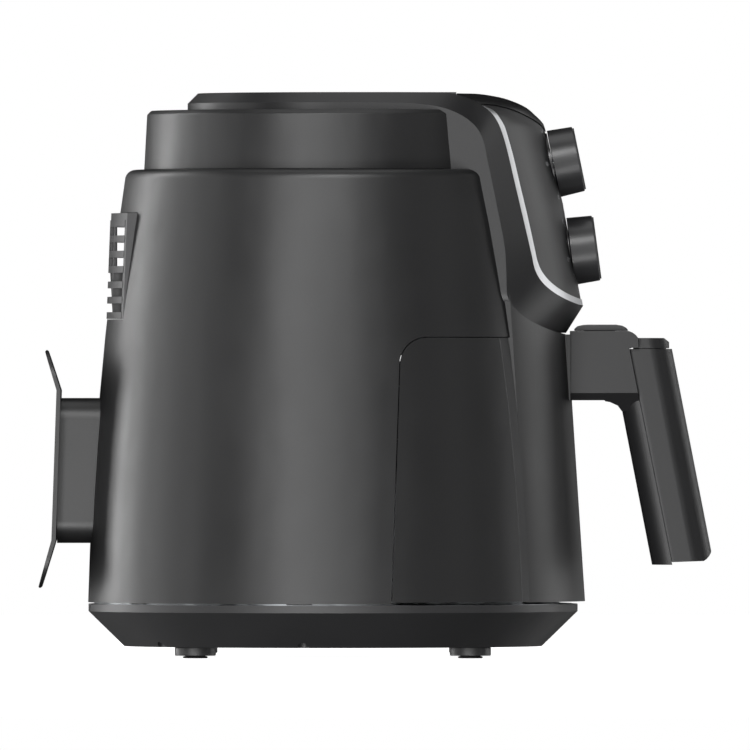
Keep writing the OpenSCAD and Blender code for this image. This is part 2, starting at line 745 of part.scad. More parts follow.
module knob(d) difference() {
    union() {
        rotate_extrude() polygon(concat([[0, 0], [d / 2, 0], [d / 2 - knob_taper, knob_h - knob_edge]],
            arc([d / 2 - knob_taper - knob_edge, knob_h - knob_edge], knob_edge, 0, 90, 3), [[0, knob_h]]));
        // Raised pointer bar across the face
        translate([-knob_bar_w / 2, -d / 2 + 1.6, knob_h - 1]) cube([knob_bar_w, d - 3.2, 1.8]);
    }
    translate([0, 0, -1]) cylinder(h = knob_h - 3, d = spindle_d);
    // Hollow behind the skirt
    translate([0, 0, -1]) ring(d / 2 - 2.4, 6, knob_h - 4);
}

module temperature_knob() color("#29292b") stand() dial_place(0) knob(upper_knob_d);
module timer_knob() color("#29292b") stand() dial_place(1) knob(lower_knob_d);

module spindle() translate([0, 0, -12]) cylinder(h = knob_h + 7, d = spindle_d);
module temperature_spindle() color("#c4c6c8") stand() dial_place(0) spindle();
module timer_spindle() color("#c4c6c8") stand() dial_place(1) spindle();

// Everything behind the drawer's leaning front, moved in by inset.
module nose_solid(inset) at(nose_foot_f, nose_foot_z) rotate([-nose_lean, 0, 0])
    translate([0, nose_curve_r, -20]) cylinder(h = 230, r = nose_curve_r - inset, $fn = 240);

mount_slot_w = 37;
mount_low_z = deck_z + deck_t + 0.4;

module drawer_front() color("#1f1f21") stand() difference() {
    union() {
        difference() {
            intersection() {
                nose_solid(0);
                forward(60, 200) difference() {
                    translate([-strap_hw, nose_bottom_z]) square([2 * strap_hw, 200]);
                    polygon(concat([[100, 340], [-100, 340], [-strap_hw - seam_gap, strap_bottom_z + u_depth]],
                        u_edge(strap_hw + 0.2, strap_bottom_z - seam_gap)));
                }
            }
            intersection() {
                nose_solid(wall);
                translate([-strap_hw + wall, -200, 0]) cube([2 * (strap_hw - wall), 200, drawer_top_z - 1]);
            }
        }
        // Pad that fills the seat up to the handle's bracket
        forward(seat_f - wall - 1, seat_f) translate([-bracket_w / 2 - 2, seat_z])
            square([bracket_w + 4, strap_bottom_z - seam_gap - seat_z]);
        // Bosses that meet the frame
        intersection() {
            nose_solid(wall / 2);
            for (x = [-52, 52], z = [58, 120]) at(112, z) translate([x, 0, 0]) rotate([90, 0, 0])
                cylinder(h = 30, d = 8, $fn = 32);
        }
    }
    body_solid(0, shoulder_z, -wall);
    intersection() {
        body_solid(seam_z, shoulder_z, fit_gap);
        translate([-200, -200, drawer_top_z + 0.1]) cube([400, 200, 200]);
    }
    forward(seat_f, 200) translate([-seat_hw, seat_z]) square([2 * seat_hw, 100]);
    at(120, 0) translate([-mount_slot_w / 2, -30, mount_low_z - 0.4]) cube([mount_slot_w, 60, 60]);
}

module drawer_half(grow) intersection() {
    across(320) drawer_side(-grow);
    translate([-200, -400, nose_bottom_z + 0.3]) cube([400, 500, drawer_top_z - nose_bottom_z - 0.3]);
}

module drawer_wraps() color("#1d1d1f") stand() intersection() {
    difference() {
        body_solid(0, shoulder_z, 0);
        body_solid(-1, shoulder_z + 1, -wall);
        cube([2 * (strap_hw + frame_strip) + seam_gap, 600, 600], center = true);
    }
    drawer_half(0);
}

module drawer_frame() color("#232325") stand() {
    frame_t = 2.2;
    difference() {
        union() {
            intersection() {
                difference() {
                    body_solid(0, shoulder_z, -wall - fit_gap);
                    body_solid(-1, shoulder_z + 1, -wall - fit_gap - frame_t);
                }
                drawer_half(0);
            }
            // Strips that show between the front and the side panels
            intersection() {
                difference() {
                    body_solid(0, shoulder_z, 0);
                    body_solid(-1, shoulder_z + 1, -wall - fit_gap - 0.5);
                }
                both_sides() translate([strap_hw + seam_gap, -300, 0])
                    cube([frame_strip - seam_gap, 300, 300]);
                drawer_half(0);
            }
            // Deck that the pan hangs from
            intersection() {
                translate([0, 0, deck_z]) difference() {
                    cylinder(h = deck_t, r = body_r(deck_z) - wall - fit_gap - 1);
                    translate([0, 0, -1]) cylinder(h = 10, r = pan_r - 1);
                }
                drawer_half(0);
            }
        }
        for (a = pan_screw_angles) rotate(a) translate([0, -pan_screw_r, deck_z - 1])
            cylinder(h = 10, d = 3.4, $fn = 24);
        at(120, 0) translate([-mount_slot_w / 2, -30, mount_low_z - 0.4]) cube([mount_slot_w, 60, 60]);
        at(hook_f, deck_z) cube([9, 9, 20], center = true);
    }
}

pan_screw_angles = [-58, -28, 28, 58];
pan_screw_r = pan_r + 2.8;
hook_f = seat_f - 17.1;

module pan() color("#303032") stand() difference() {
    corner = 8;
    rotate_extrude($fn = 160) polygon(concat(
        [[0, pan_bottom_z]], arc([pan_r - corner, pan_bottom_z + corner], corner, 270, 360, 6),
        [[pan_r, pan_rim_z - sheet], [pan_r + rim_flange, pan_rim_z - sheet],
         [pan_r + rim_flange, pan_rim_z], [pan_r - sheet, pan_rim_z]],
        flip(arc([pan_r - corner, pan_bottom_z + corner], corner - sheet, 270, 360, 6)),
        [[0, pan_bottom_z + sheet]]));
    for (a = pan_screw_angles) rotate(a) translate([0, -pan_screw_r, 100])
        cylinder(h = 100, d = 3.4, $fn = 24);
}

module pan_screws() color("#8d8f92") stand() for (a = pan_screw_angles)
    rotate(a) translate([0, -pan_screw_r, deck_z + deck_t]) screw(3.2, 5, 6, 1.8);

module basket() color("#2b2b2d") stand() difference() {
    corner = 6;
    rim_z = pan_rim_z - 2;
    rotate_extrude($fn = 160) polygon(concat(
        [[0, basket_bottom_z]], arc([basket_r - corner, basket_bottom_z + corner], corner, 270, 360, 6),
        [[basket_r, rim_z], [basket_r - sheet, rim_z]],
        flip(arc([basket_r - corner, basket_bottom_z + corner], corner - sheet, 270, 360, 6)),
        [[0, basket_bottom_z + sheet]]));
    // Rings of holes in the floor
    pitch = 13;
    for (r = [pitch:pitch:78]) for (i = [0:floor(6.28 * r / pitch) - 1])
        rotate(360 * i / floor(6.28 * r / pitch)) translate([r, 0, 0])
            cylinder(h = basket_bottom_z + 4, d = 5.4, $fn = 16);
}

module basket_bumpers() color("#3a3a3c") stand() for (a = [45:90:315]) rotate(a)
    translate([basket_r - 14, 0, pan_bottom_z + sheet])
        cylinder(h = basket_bottom_z - pan_bottom_z - sheet, d = 13, $fn = 40);

mount_w = 36;
// Height of the lower edge of the plate that holds the basket
mount_foot_z = 140;
mount_h = 6.8;
arm_w = 6;
arm_gap = 0.8;
travel = 3.5;

module handle_mount() color("#a9abad") stand() difference() {
    union() {
        intersection() {
            translate([0, 0, mount_foot_z]) ring(basket_r + 0.1 + 2, basket_r + 0.1,
                mount_low_z + mount_h - mount_foot_z);
            translate([-mount_w / 2, -basket_r - 50, 0]) cube([mount_w, 100, 300]);
        }
        difference() {
            translate([-mount_w / 2, -seat_f, mount_low_z])
                cube([mount_w, seat_f - basket_r + 4, mount_h]);
            cylinder(h = 300, r = basket_r + 0.1);
        }
    }
    // Channel for the button's arm, and the slot its hook passes through
    translate([-arm_w / 2 - arm_gap, -200, mount_low_z + mount_h - travel - 0.4])
        cube([arm_w + 2 * arm_gap, 200 - basket_r - 6, 10]);
    at(hook_f, mount_low_z) cube([arm_w + 2 * arm_gap, 8, 30], center = true);
    for (x = [-mount_screw_x, mount_screw_x]) at(120, mount_screw_z) translate([x, 0, 0])
        rotate([90, 0, 0]) cylinder(h = 40, d = 3.2, $fn = 24);
}

mount_screw_x = 12.6;
mount_screw_z = 175;
mount_screw_f = seat_f + 7.9;

module handle_mount_screws() color("#8d8f92") stand() for (x = [-mount_screw_x, mount_screw_x])
    at(mount_screw_f, mount_screw_z) translate([x, 0, 0]) rotate([90, 0, 0]) screw(3.2, 16, 6, 2.2);

grip_mid_f = seat_f + 52.2;
grip_mid_z = 115;
grip_d = 34.6;
grip_low_z = 52.6;
grip_top_z = 175.6;

// Points given by their distance in front of the drawer's seat.
function from_seat(points) = [for (p = points) [seat_f + p[0], p[1]]];

split_line = from_seat([[33.6, 178], [33.6, 175.7], [38.6, 150], [57.6, 55], [58.2, 52]]);
bracket_round = 4.5;
bracket_reach = 35.3;

module grip_solid(shrink) at(grip_mid_f, grip_mid_z) rotate([-grip_lean, 0, 0])
    linear_extrude(200, center = true) rounded_rect(grip_w - 2 * shrink, grip_d - 2 * shrink, 13 - shrink);

module handle_body() color("#202022") stand() difference() {
    union() {
        // Bracket in front of the drawer
        intersection() {
            across(bracket_w) polygon(concat(
                from_seat([[0, bracket_top_z], [0, seat_z], [16.9, seat_z], [22.9, 145.2], [27.3, 143.2],
                    [29.6, 140], [40.5, 140]]),
                [split_line[2], split_line[1]],
                from_seat([[bracket_reach, grip_top_z + 0.6], [bracket_reach, 181.1], [28, bracket_top_z]])));
            // Rounded towards the grip, and along the lower edges
            at(seat_f + 20, 0) linear_extrude(300) rounded_rect(bracket_w, 49.8, 6);
            union() {
                forward(seat_f - 1, seat_f + 20) translate([0, seat_z + 60]) rounded_rect(bracket_w, 120, bracket_round);
                forward(seat_f + 19.9, seat_f + 60) square([bracket_w, 600], center = true);
            }
        }
        // Rear half of the grip
        intersection() {
            grip_solid(0);
            across(60) polygon(concat(from_seat([[15, grip_low_z], [15, grip_top_z]]), split_line));
            translate([-50, -300, grip_low_z]) cube([100, 200, grip_top_z - grip_low_z]);
        }
    }
    // Pocket for the button and its spring
    at(button_f, spring_low_z) cylinder(h = button_flange_z + 3.4 - spring_low_z, d = button_d + 3.6);
    at(button_f, spring_low_z) cylinder(h = 40, d = button_d + 0.6);
    translate([-arm_w / 2 - arm_gap, -button_f, button_flange_z - travel - 2])
        cube([arm_w + 2 * arm_gap, 30, travel + 4.4]);
    // Grooves for the guard's rails
    both_sides() translate([11.2, -seat_f - 35.9, bracket_top_z - 2.2]) cube([2.8, 30.5, 4]);
    for (x = [-mount_screw_x, mount_screw_x]) at(mount_screw_f, mount_screw_z) translate([x, 0, 0])
        rotate([90, 0, 0]) {
            translate([0, 0, -20]) cylinder(h = 80, d = 3.4, $fn = 24);
            cylinder(h = 60, d = 7);
        }
    handle_screw_places() {
        cylinder(h = 40, d = 3.4, center = true, $fn = 24);
        translate([0, 0, -30]) cylinder(h = 26.6, d = 7);
    }
}

module handle_screw_places() for (z = [74, 128])
    at(grip_mid_f - (z - grip_mid_z) * tan(grip_lean), z) facing(grip_lean) translate([0, 0, -8]) children();

module handle_cover() color("#19191b") stand() difference() {
    intersection() {
        grip_solid(0);
        across(60) polygon(concat(from_seat([[105, grip_low_z], [105, grip_top_z]]),
            [for (p = split_line) p + [0.2, 0]]));
        translate([-50, -300, grip_low_z]) cube([100, 200, grip_top_z - grip_low_z]);
        across(60) polygon(concat(from_seat([[15, grip_top_z], [58.1, grip_top_z], [79.5, 66]]),
            arc([seat_f + 71.4, 63], 9.5, 0, -60, 5), from_seat([[15, grip_low_z]])));
    }
    handle_screw_places() translate([0, 0, -2]) cylinder(h = 13, d = 3, $fn = 24);
}

module handle_cap() color("#151517") stand() intersection() {
    grip_solid(0.6);
    across(60) polygon(from_seat([[38.8, grip_top_z + 0.3], [38.8, 181.8], [53.4, 181.8], [56.4, 179.5],
        [56.4, grip_top_z + 0.3]]));
}

module handle_screws() color("#8d8f92") stand() handle_screw_places() mirror([0, 0, 1])
    translate([0, 0, 3.6]) screw(2.9, 14, 6, 2);

button_flange_z = 180.2;
spring_low_z = 167;
guard_gap = 0.3;

module release_button() color("#404042") stand() {
    at(button_f, button_flange_z) cylinder(h = bracket_top_z - button_flange_z - 0.2, d = button_d);
    at(button_f, button_flange_z) cylinder(h = 3, d = button_d + 3);
    // Arm and hook that hold the basket in the drawer
    translate([-arm_w / 2, -button_f, button_flange_z - 1.2]) cube([arm_w, button_f - hook_f + 2, 2.4]);
    at(hook_f, deck_z - 2.5) translate([-arm_w / 2, -2, 0])
        cube([arm_w, 4, button_flange_z - deck_z + 2.5]);
}

module button_spring() color("#c4c6c8") stand() at(button_f, spring_low_z + 0.1) {
    h = button_flange_z - spring_low_z - 1.6;
    // The outer shape of the coil
    ring(6.3, 4.9, h);
}

guard_w = 31;

module button_guard() color("#121214") stand() {
    top = bracket_top_z + guard_gap;
    across(guard_w) polygon(concat(from_seat([[7.4, top], [7.4, top + 1.9]]),
        arc([seat_f + 9.4, top + 1.4], 1.7, 150, 90, 4),
        from_seat([[28.5, top + 3.1], [38.8, 182.3], [34.4, 182.3], [28.4, top]])));
    both_sides() translate([11.7, -seat_f - 24.9, bracket_top_z - 1.8]) cube([1.8, 16, 2.4]);
}

body_shell();
top_cap();
base_tray();
chamber_floor();
feet();
foot_pads();
base_screws();
control_housing();
control_panel();
crown_cover();
trim_strip();
dial_discs();
rear_vent_grille();
cord_bracket();
cord_bracket_screws();
mains_inlet();
chamber_liner();
chamber_dome();
heating_element();
element_clips();
motor();
motor_bracket();
motor_screws();
air_duct();
thermostat();
timer();
control_bracket();
door_switch();
thermal_fuse();
terminal_block();
fan_impeller();
motor_shaft();
cooling_fan();
temperature_knob();
timer_knob();
temperature_spindle();
timer_spindle();
drawer_front();
drawer_wraps();
drawer_frame();
pan();
pan_screws();
basket();
basket_bumpers();
handle_mount();
handle_mount_screws();
handle_body();
handle_cover();
handle_cap();
handle_screws();
release_button();
button_spring();
button_guard();
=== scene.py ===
import json
import math

import bmesh
import bpy
from mathutils import Matrix, Vector


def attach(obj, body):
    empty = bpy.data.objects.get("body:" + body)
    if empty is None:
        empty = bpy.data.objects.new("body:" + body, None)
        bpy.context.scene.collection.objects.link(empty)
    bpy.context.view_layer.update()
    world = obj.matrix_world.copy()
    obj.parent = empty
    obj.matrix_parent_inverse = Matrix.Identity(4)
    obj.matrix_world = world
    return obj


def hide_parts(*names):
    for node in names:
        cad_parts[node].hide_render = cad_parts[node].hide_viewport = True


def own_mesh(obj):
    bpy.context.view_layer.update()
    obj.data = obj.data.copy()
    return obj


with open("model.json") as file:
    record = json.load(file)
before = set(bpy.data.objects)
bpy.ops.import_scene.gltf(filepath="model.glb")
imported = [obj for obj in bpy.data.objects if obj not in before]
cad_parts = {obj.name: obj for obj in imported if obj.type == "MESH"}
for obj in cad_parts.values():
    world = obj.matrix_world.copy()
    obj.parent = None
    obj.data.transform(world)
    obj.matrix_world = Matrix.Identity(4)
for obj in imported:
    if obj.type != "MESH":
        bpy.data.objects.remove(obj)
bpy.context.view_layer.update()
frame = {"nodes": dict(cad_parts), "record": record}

scene = bpy.context.scene
print("frame loaded:", len(frame["nodes"]), "parts")

# Lengths are in millimetres, and a point is written (x, f, z): across, towards the front, up
mm = 0.001
axisBehind = 23.7  # how far the round body's axis stands behind the frame's origin


def place(x, f, z):
    return Vector((x * mm, (axisBehind - f) * mm, z * mm))


cameraView = {
    "fieldWidth": 427.5,  # what the square view takes in at the object
    "lens": 1200,  # very long, so that near and far sides show the same size
    "sensor": 36,
    "aimFront": 23.9,
    "aimHeight": 160.7,
    "clip": (0.5, 60),  # in metres
}


def makeCamera():
    data = bpy.data.cameras.new("sideCamera")
    data.lens = cameraView["lens"]
    data.sensor_width = cameraView["sensor"]
    data.clip_start, data.clip_end = cameraView["clip"]
    distance = cameraView["fieldWidth"] * cameraView["lens"] / cameraView["sensor"]
    camera = bpy.data.objects.new("sideCamera", data)
    scene.collection.objects.link(camera)
    camera.location = place(-distance, cameraView["aimFront"], cameraView["aimHeight"])
    camera.rotation_euler = (math.radians(90), 0, math.radians(-90))
    scene.camera = camera


makeCamera()
print("camera set")


def linear(hexColour):
    channels = [int(hexColour[i:i + 2], 16) / 255 for i in (1, 3, 5)]
    return [c / 12.92 if c <= 0.04045 else ((c + 0.055) / 1.055) ** 2.4 for c in channels] + [1.0]


def addNode(tree, kind, inputs=None, **settings):
    node = tree.nodes.new(kind)
    for key, value in settings.items():
        setattr(node, key, value)
    for key, value in (inputs or {}).items():
        if isinstance(value, bpy.types.NodeSocket):
            tree.links.new(value, node.inputs[key])
        else:
            node.inputs[key].default_value = value
    return node


def startMaterial(name):
    material = bpy.data.materials.new(name)
    material.use_nodes = True
    tree = material.node_tree
    tree.nodes.clear()
    return material, tree, addNode(tree, "ShaderNodeTexCoord").outputs["Object"]


def finishMaterial(material, surface):
    shader = addNode(material.node_tree, "ShaderNodeBsdfPrincipled", surface)
    addNode(material.node_tree, "ShaderNodeOutputMaterial", {"Surface": shader.outputs["BSDF"]})
    return material


noiseRange = {"From Min": 0.3, "From Max": 0.7}  # where nearly all of a noise texture's values lie


def mouldedPlastic(name, dark, light, roughness, ior, grain, depth, patch=45, swing=0.03):
    # grain is the spacing of the tool's spark-eroded texture and depth its height, both in mm. The
    # real spacing is about 0.1 mm, too fine to show, so it is drawn some ten times as coarse.
    # patch is the size of the broad, faint differences that the melt's flow leaves.
    material, tree, where = startMaterial(name)
    texture = addNode(tree, "ShaderNodeTexNoise", {
        "Vector": where, "Scale": 1 / (grain * mm), "Detail": 3.0, "Roughness": 0.6})
    flow = addNode(tree, "ShaderNodeTexNoise", {
        "Vector": where, "Scale": 1 / (patch * mm), "Detail": 2.0})
    bump = addNode(tree, "ShaderNodeBump", {
        "Height": texture.outputs["Fac"], "Distance": depth * mm, "Strength": 0.6})
    polish = addNode(tree, "ShaderNodeMapRange", {
        "Value": flow.outputs["Fac"], **noiseRange,
        "To Min": roughness - swing, "To Max": roughness + swing})
    speck = addNode(tree, "ShaderNodeMapRange", {"Value": texture.outputs["Fac"], **noiseRange})
    colour = addNode(tree, "ShaderNodeMix", {
        "Factor": speck.outputs["Result"], "A": linear(dark), "B": linear(light)}, data_type="RGBA")
    return finishMaterial(material, {
        "Base Color": colour.outputs["Result"], "Roughness": polish.outputs["Result"],
        "IOR": ior, "Normal": bump.outputs["Normal"]})


def sheetSteel(name, dark, light, roughness, cell, swing=0.12, ripple=1.5, depth=0.01):
    # zinc crystals, cell mm across, each with its own brightness and polish, on a faint ripple
    material, tree, where = startMaterial(name)
    crystals = addNode(tree, "ShaderNodeTexVoronoi", {
        "Vector": where, "Scale": 1 / (cell * mm), "Randomness": 1.0})
    grey = addNode(tree, "ShaderNodeSeparateColor", {"Color": crystals.outputs["Color"]})
    polish = addNode(tree, "ShaderNodeMapRange", {
        "Value": grey.outputs["Red"], "To Min": roughness - swing, "To Max": roughness + swing})
    colour = addNode(tree, "ShaderNodeMix", {
        "Factor": grey.outputs["Red"], "A": linear(dark), "B": linear(light)}, data_type="RGBA")
    rolled = addNode(tree, "ShaderNodeTexNoise", {
        "Vector": where, "Scale": 1 / (ripple * mm), "Detail": 2.0})
    bump = addNode(tree, "ShaderNodeBump", {
        "Height": rolled.outputs["Fac"], "Distance": depth * mm, "Strength": 0.5})
    return finishMaterial(material, {
        "Base Color": colour.outputs["Result"], "Roughness": polish.outputs["Result"],
        "Metallic": 1.0, "Normal": bump.outputs["Normal"]})


def brushedMetal(name, dark, light, roughness, line, stretch, depth=0.01, swing=0.06):
    # fine lines, line mm apart, drawn out along the axes whose stretch is small; real ones lie
    # closer than 0.2 mm, so these are coarser to show at all
    material, tree, where = startMaterial(name)
    drawn = addNode(tree, "ShaderNodeMapping", {"Vector": where, "Scale": stretch},
                    vector_type="POINT")
    lines = addNode(tree, "ShaderNodeTexNoise", {
        "Vector": drawn.outputs["Vector"], "Scale": 1 / (line * mm), "Detail": 3.0})
    shine = addNode(tree, "ShaderNodeMapRange", {"Value": lines.outputs["Fac"], **noiseRange})
    colour = addNode(tree, "ShaderNodeMix", {
        "Factor": shine.outputs["Result"], "A": linear(dark), "B": linear(light)}, data_type="RGBA")
    polish = addNode(tree, "ShaderNodeMapRange", {
        "Value": lines.outputs["Fac"], **noiseRange,
        "To Min": roughness - swing, "To Max": roughness + swing})
    bump = addNode(tree, "ShaderNodeBump", {
        "Height": lines.outputs["Fac"], "Distance": depth * mm, "Strength": 0.5})
    return finishMaterial(material, {
        "Base Color": colour.outputs["Result"], "Roughness": polish.outputs["Result"],
        "Metallic": 1.0, "Normal": bump.outputs["Normal"]})


def coatedSteel(name, dark, flake, smooth, rough, peel=2.4, fleck=1.1, depth=0.03):
    # PTFE non-stick spray on drawn steel: orange-peel ripple, peel mm across, and a few bright
    # flakes, fleck mm across, which is coarser than real mica so that they show
    material, tree, where = startMaterial(name)
    ripple = addNode(tree, "ShaderNodeTexNoise", {
        "Vector": where, "Scale": 1 / (peel * mm), "Detail": 2.0})
    flakes = addNode(tree, "ShaderNodeTexVoronoi", {"Vector": where, "Scale": 1 / (fleck * mm)})
    grain = addNode(tree, "ShaderNodeSeparateColor", {"Color": flakes.outputs["Color"]})
    bright = addNode(tree, "ShaderNodeMapRange", {
        "Value": grain.outputs["Green"], "From Min": 0.9, "From Max": 1.0})
    colour = addNode(tree, "ShaderNodeMix", {
        "Factor": bright.outputs["Result"], "A": linear(dark), "B": linear(flake)},
        data_type="RGBA")
    polish = addNode(tree, "ShaderNodeMapRange", {
        "Value": ripple.outputs["Fac"], **noiseRange, "To Min": smooth, "To Max": rough})
    bump = addNode(tree, "ShaderNodeBump", {
        "Height": ripple.outputs["Fac"], "Distance": depth * mm, "Strength": 0.5})
    return finishMaterial(material, {
        "Base Color": colour.outputs["Result"], "Roughness": polish.outputs["Result"],
        "IOR": 1.38, "Normal": bump.outputs["Normal"]})


def oxidisedSheath(name, dark, brown, smooth, rough, size=14, grit=0.8, depth=0.02):
    # nickel-alloy tube of a heating element, browned by heat in patches of that size; its oxide
    # skin feels like fine grit
    material, tree, where = startMaterial(name)
    burnt = addNode(tree, "ShaderNodeTexNoise", {
        "Vector": where, "Scale": 1 / (size * mm), "Detail": 4.0})
    patch = addNode(tree, "ShaderNodeMapRange", {"Value": burnt.outputs["Fac"], **noiseRange})
    colour = addNode(tree, "ShaderNodeMix", {
        "Factor": patch.outputs["Result"], "A": linear(dark), "B": linear(brown)},
        data_type="RGBA")
    polish = addNode(tree, "ShaderNodeMapRange", {
        "Value": burnt.outputs["Fac"], **noiseRange, "To Min": smooth, "To Max": rough})
    oxide = addNode(tree, "ShaderNodeTexNoise", {"Vector": where, "Scale": 1 / (grit * mm)})
    bump = addNode(tree, "ShaderNodeBump", {
        "Height": oxide.outputs["Fac"], "Distance": depth * mm})
    return finishMaterial(material, {
        "Base Color": colour.outputs["Result"], "Roughness": polish.outputs["Result"],
        "Metallic": 0.85, "Normal": bump.outputs["Normal"]})


finishes = {
    # ABS from a spark-eroded tool: even satin, so strip lights spread into soft upright bands
    "black_body": mouldedPlastic(
        "sparkErodedAbsBody", "#191919", "#1e1e1f", 0.42, 1.54, 0.9, 0.006),
    "black_housing": mouldedPlastic(
        "sparkErodedAbsHousing", "#19191a", "#1f1f20", 0.42, 1.54, 0.9, 0.006),
    "black_base": mouldedPlastic(
        "sparkErodedAbsBase", "#242425", "#29292a", 0.46, 1.54, 1.0, 0.008),
    # ABS from a polished tool: smoother and a little glossier than the body beside it
    "black_gloss": mouldedPlastic(
        "polishedAbs", "#202021", "#232324", 0.3, 1.54, 1.5, 0.001, swing=0.02),
    # satin polycarbonate blend: finer texture than the body and a slightly brighter highlight
    "knob_black": mouldedPlastic(
        "satinKnobPlastic", "#29292a", "#2d2d2e", 0.36, 1.57, 0.7, 0.004),
    # glass-filled nylon: duller, with a coarser skin that the fibres leave
    "grip_black": mouldedPlastic(
        "glassFilledNylon", "#171718", "#1c1c1d", 0.44, 1.53, 0.8, 0.009),
    # PBT near the heat: matt, as glass fibres lie close under its skin
    "inner_black": mouldedPlastic(
        "heatProofPbt", "#161617", "#1b1b1c", 0.55, 1.57, 1.1, 0.01),
    # satin ABS, moulded through in grey
    "button_grey": mouldedPlastic(
        "satinAbsButton", "#3a3a3c", "#404042", 0.4, 1.54, 0.8, 0.005),
    # silicone: matt, faintly dusty
    "rubber_black": mouldedPlastic(
        "mouldedSilicone", "#101011", "#161617", 0.72, 1.41, 1.4, 0.02),
    # steatite under a thin glaze: off-white, with a soft shine
    "control_white": mouldedPlastic(
        "glazedSteatite", "#cfcdc4", "#d8d6ce", 0.38, 1.6, 1.2, 0.006),
    # vacuum-plated ABS: bright, with a satin lacquer that softens what it mirrors
    "trim_silver": brushedMetal(
        "satinChromePlate", "#c9cacc", "#d6d7d8", 0.42, 0.5, (1, 1, 0.05), 0.002),
    # rolled sheet: faint lines along the rolling direction
    "aluminium_fan": brushedMetal(
        "rolledAluminium", "#a5a7aa", "#b6b8bb", 0.34, 0.8, (0.04, 1, 1)),
    # punched sheets in a stack: their edges draw level lines round the motor
    "motor_steel": brushedMetal(
        "stackedSteelSheets", "#77797c", "#8d8f92", 0.42, 0.9, (0.02, 0.02, 1), 0.05),
    # zinc plate on turned steel: light grey with a clear shine
    "bright_steel": brushedMetal(
        "zincPlatedSteel", "#a9abae", "#bfc1c3", 0.26, 0.6, (1, 1, 0.3)),
    # hot-dip galvanised sheet: crystals some 7 mm across, some brighter than others
    "galvanised_steel": sheetSteel("hotDipGalvanised", "#8f9295", "#a9acaf", 0.4, 7),
    # sprayed non-stick coat: dark grey and softly rippled
    "nonstick_black": coatedSteel("ptfeSprayCoat", "#1d1d1f", "#6a6a6e", 0.36, 0.5),
    # heater tube: dull, in patches of dark and lighter brown
    "element_steel": oxidisedSheath("brownedSheath", "#3b3733", "#6b6157", 0.42, 0.62),
}
print("materials made:", len(finishes))


def addPiece(name, shape):
    # shape is a bmesh whose points are in mm as (x, f, z)
    for vertex in shape.verts:
        vertex.co = place(*vertex.co)
    bmesh.ops.recalc_face_normals(shape, faces=shape.faces)
    mesh = bpy.data.meshes.new(name)
    shape.to_mesh(mesh)
    shape.free()
    piece = bpy.data.objects.new(name, mesh)
    scene.collection.objects.link(piece)
    return piece


def loft(name, rings, closed=False):
    # joins rings of as many points each in order, and caps the ends unless it closes on itself
    shape = bmesh.new()
    rows = [[shape.verts.new(point) for point in ring] for ring in rings]
    pairs = list(zip(rows, rows[1:])) + ([(rows[-1], rows[0])] if closed else [])
    for near, far in pairs:
        for i in range(len(near)):
            j = (i + 1) % len(near)
            shape.faces.new((near[i], near[j], far[j], far[i]))
    if not closed:
        shape.faces.new(rows[0][::-1])
        shape.faces.new(rows[-1])
    return addPiece(name, shape)


def prism(name, outline, axis, low, high):
    # outline is drawn in (f, z) along x, or in (x, f) along z
    if axis == "x":
        return loft(name, [[(t, a, b) for a, b in outline] for t in (low, high)])
    return loft(name, [[(a, b, t) for a, b in outline] for t in (low, high)])


def block(name, low, high):
    (x0, f0, z0), (x1, f1, z1) = low, high
    return prism(name, [(x0, f0), (x1, f0), (x1, f1), (x0, f1)], "z", z0, z1)


def bake(piece):
    graph = bpy.context.evaluated_depsgraph_get()
    mesh = bpy.data.meshes.new_from_object(piece.evaluated_get(graph), depsgraph=graph)
    piece.modifiers.clear()
    piece.data = mesh
    mesh.name = piece.name
    return piece


def combine(piece, tool, operation):
    modifier = piece.modifiers.new("combine", "BOOLEAN")
    modifier.object, modifier.operation, modifier.solver = tool, operation, "EXACT"
    bake(piece)
    bpy.data.objects.remove(tool)
    return piece


rounding = {
    "angle": 28,  # edges sharper than this are rounded
    "segments": 2,
    "hardAngle": 40,  # edges sharper than this still show as a line
    "weight": 60,
    "weld": 0.004,  # points closer than this become one
    "flat": 0.4,  # faces that meet at less than this angle become one
}


def tidyMesh(piece):
    shape = bmesh.new()
    shape.from_mesh(piece.data)
    near = rounding["weld"] * mm
    bmesh.ops.remove_doubles(shape, verts=shape.verts, dist=near)
    bmesh.ops.dissolve_degenerate(shape, edges=shape.edges, dist=near)
    bmesh.ops.dissolve_limit(shape, verts=shape.verts, edges=shape.edges,
                             angle_limit=math.radians(rounding["flat"]))
    bmesh.ops.recalc_face_normals(shape, faces=shape.faces)
    shape.to_mesh(piece.data)
    shape.free()


def soften(piece, radius, angle=rounding["angle"]):
    # rounds the sharp edges, as a mould or a press leaves them
    tidyMesh(piece)
    if radius > 0:
        bevel = piece.modifiers.new("rounding", "BEVEL")
        bevel.width, bevel.segments = radius * mm, rounding["segments"]
        bevel.limit_method, bevel.angle_limit = "ANGLE", math.radians(angle)
        bevel.miter_outer = "MITER_ARC"
        bevel.use_clamp_overlap = True
        bake(piece)
    piece.data.shade_smooth()
    piece.data.set_sharp_from_angle(angle=math.radians(rounding["hardAngle"]))
    weigh = piece.modifiers.new("weigh", "WEIGHTED_NORMAL")
    weigh.keep_sharp, weigh.weight = True, rounding["weight"]
    return bake(piece)


def settle(piece, slot, body, *nodes, finish=None):
    piece.data.materials.clear()
    piece.data.materials.append(finish or finishes[slot])
    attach(piece, body)
    if nodes:
        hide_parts(*nodes)
    return piece


def copyNode(node, name):
    source = frame["nodes"][node].data
    mesh = bpy.data.meshes.new(name)
    mesh.from_pydata([v.co[:] for v in source.vertices], [],
                     [list(p.vertices) for p in source.polygons])
    piece = bpy.data.objects.new(name, mesh)
    scene.collection.objects.link(piece)
    return piece


bodyOf = {node: body for body, nodes in frame["record"]["behaviour"]["bodies"].items()
          for node in nodes}


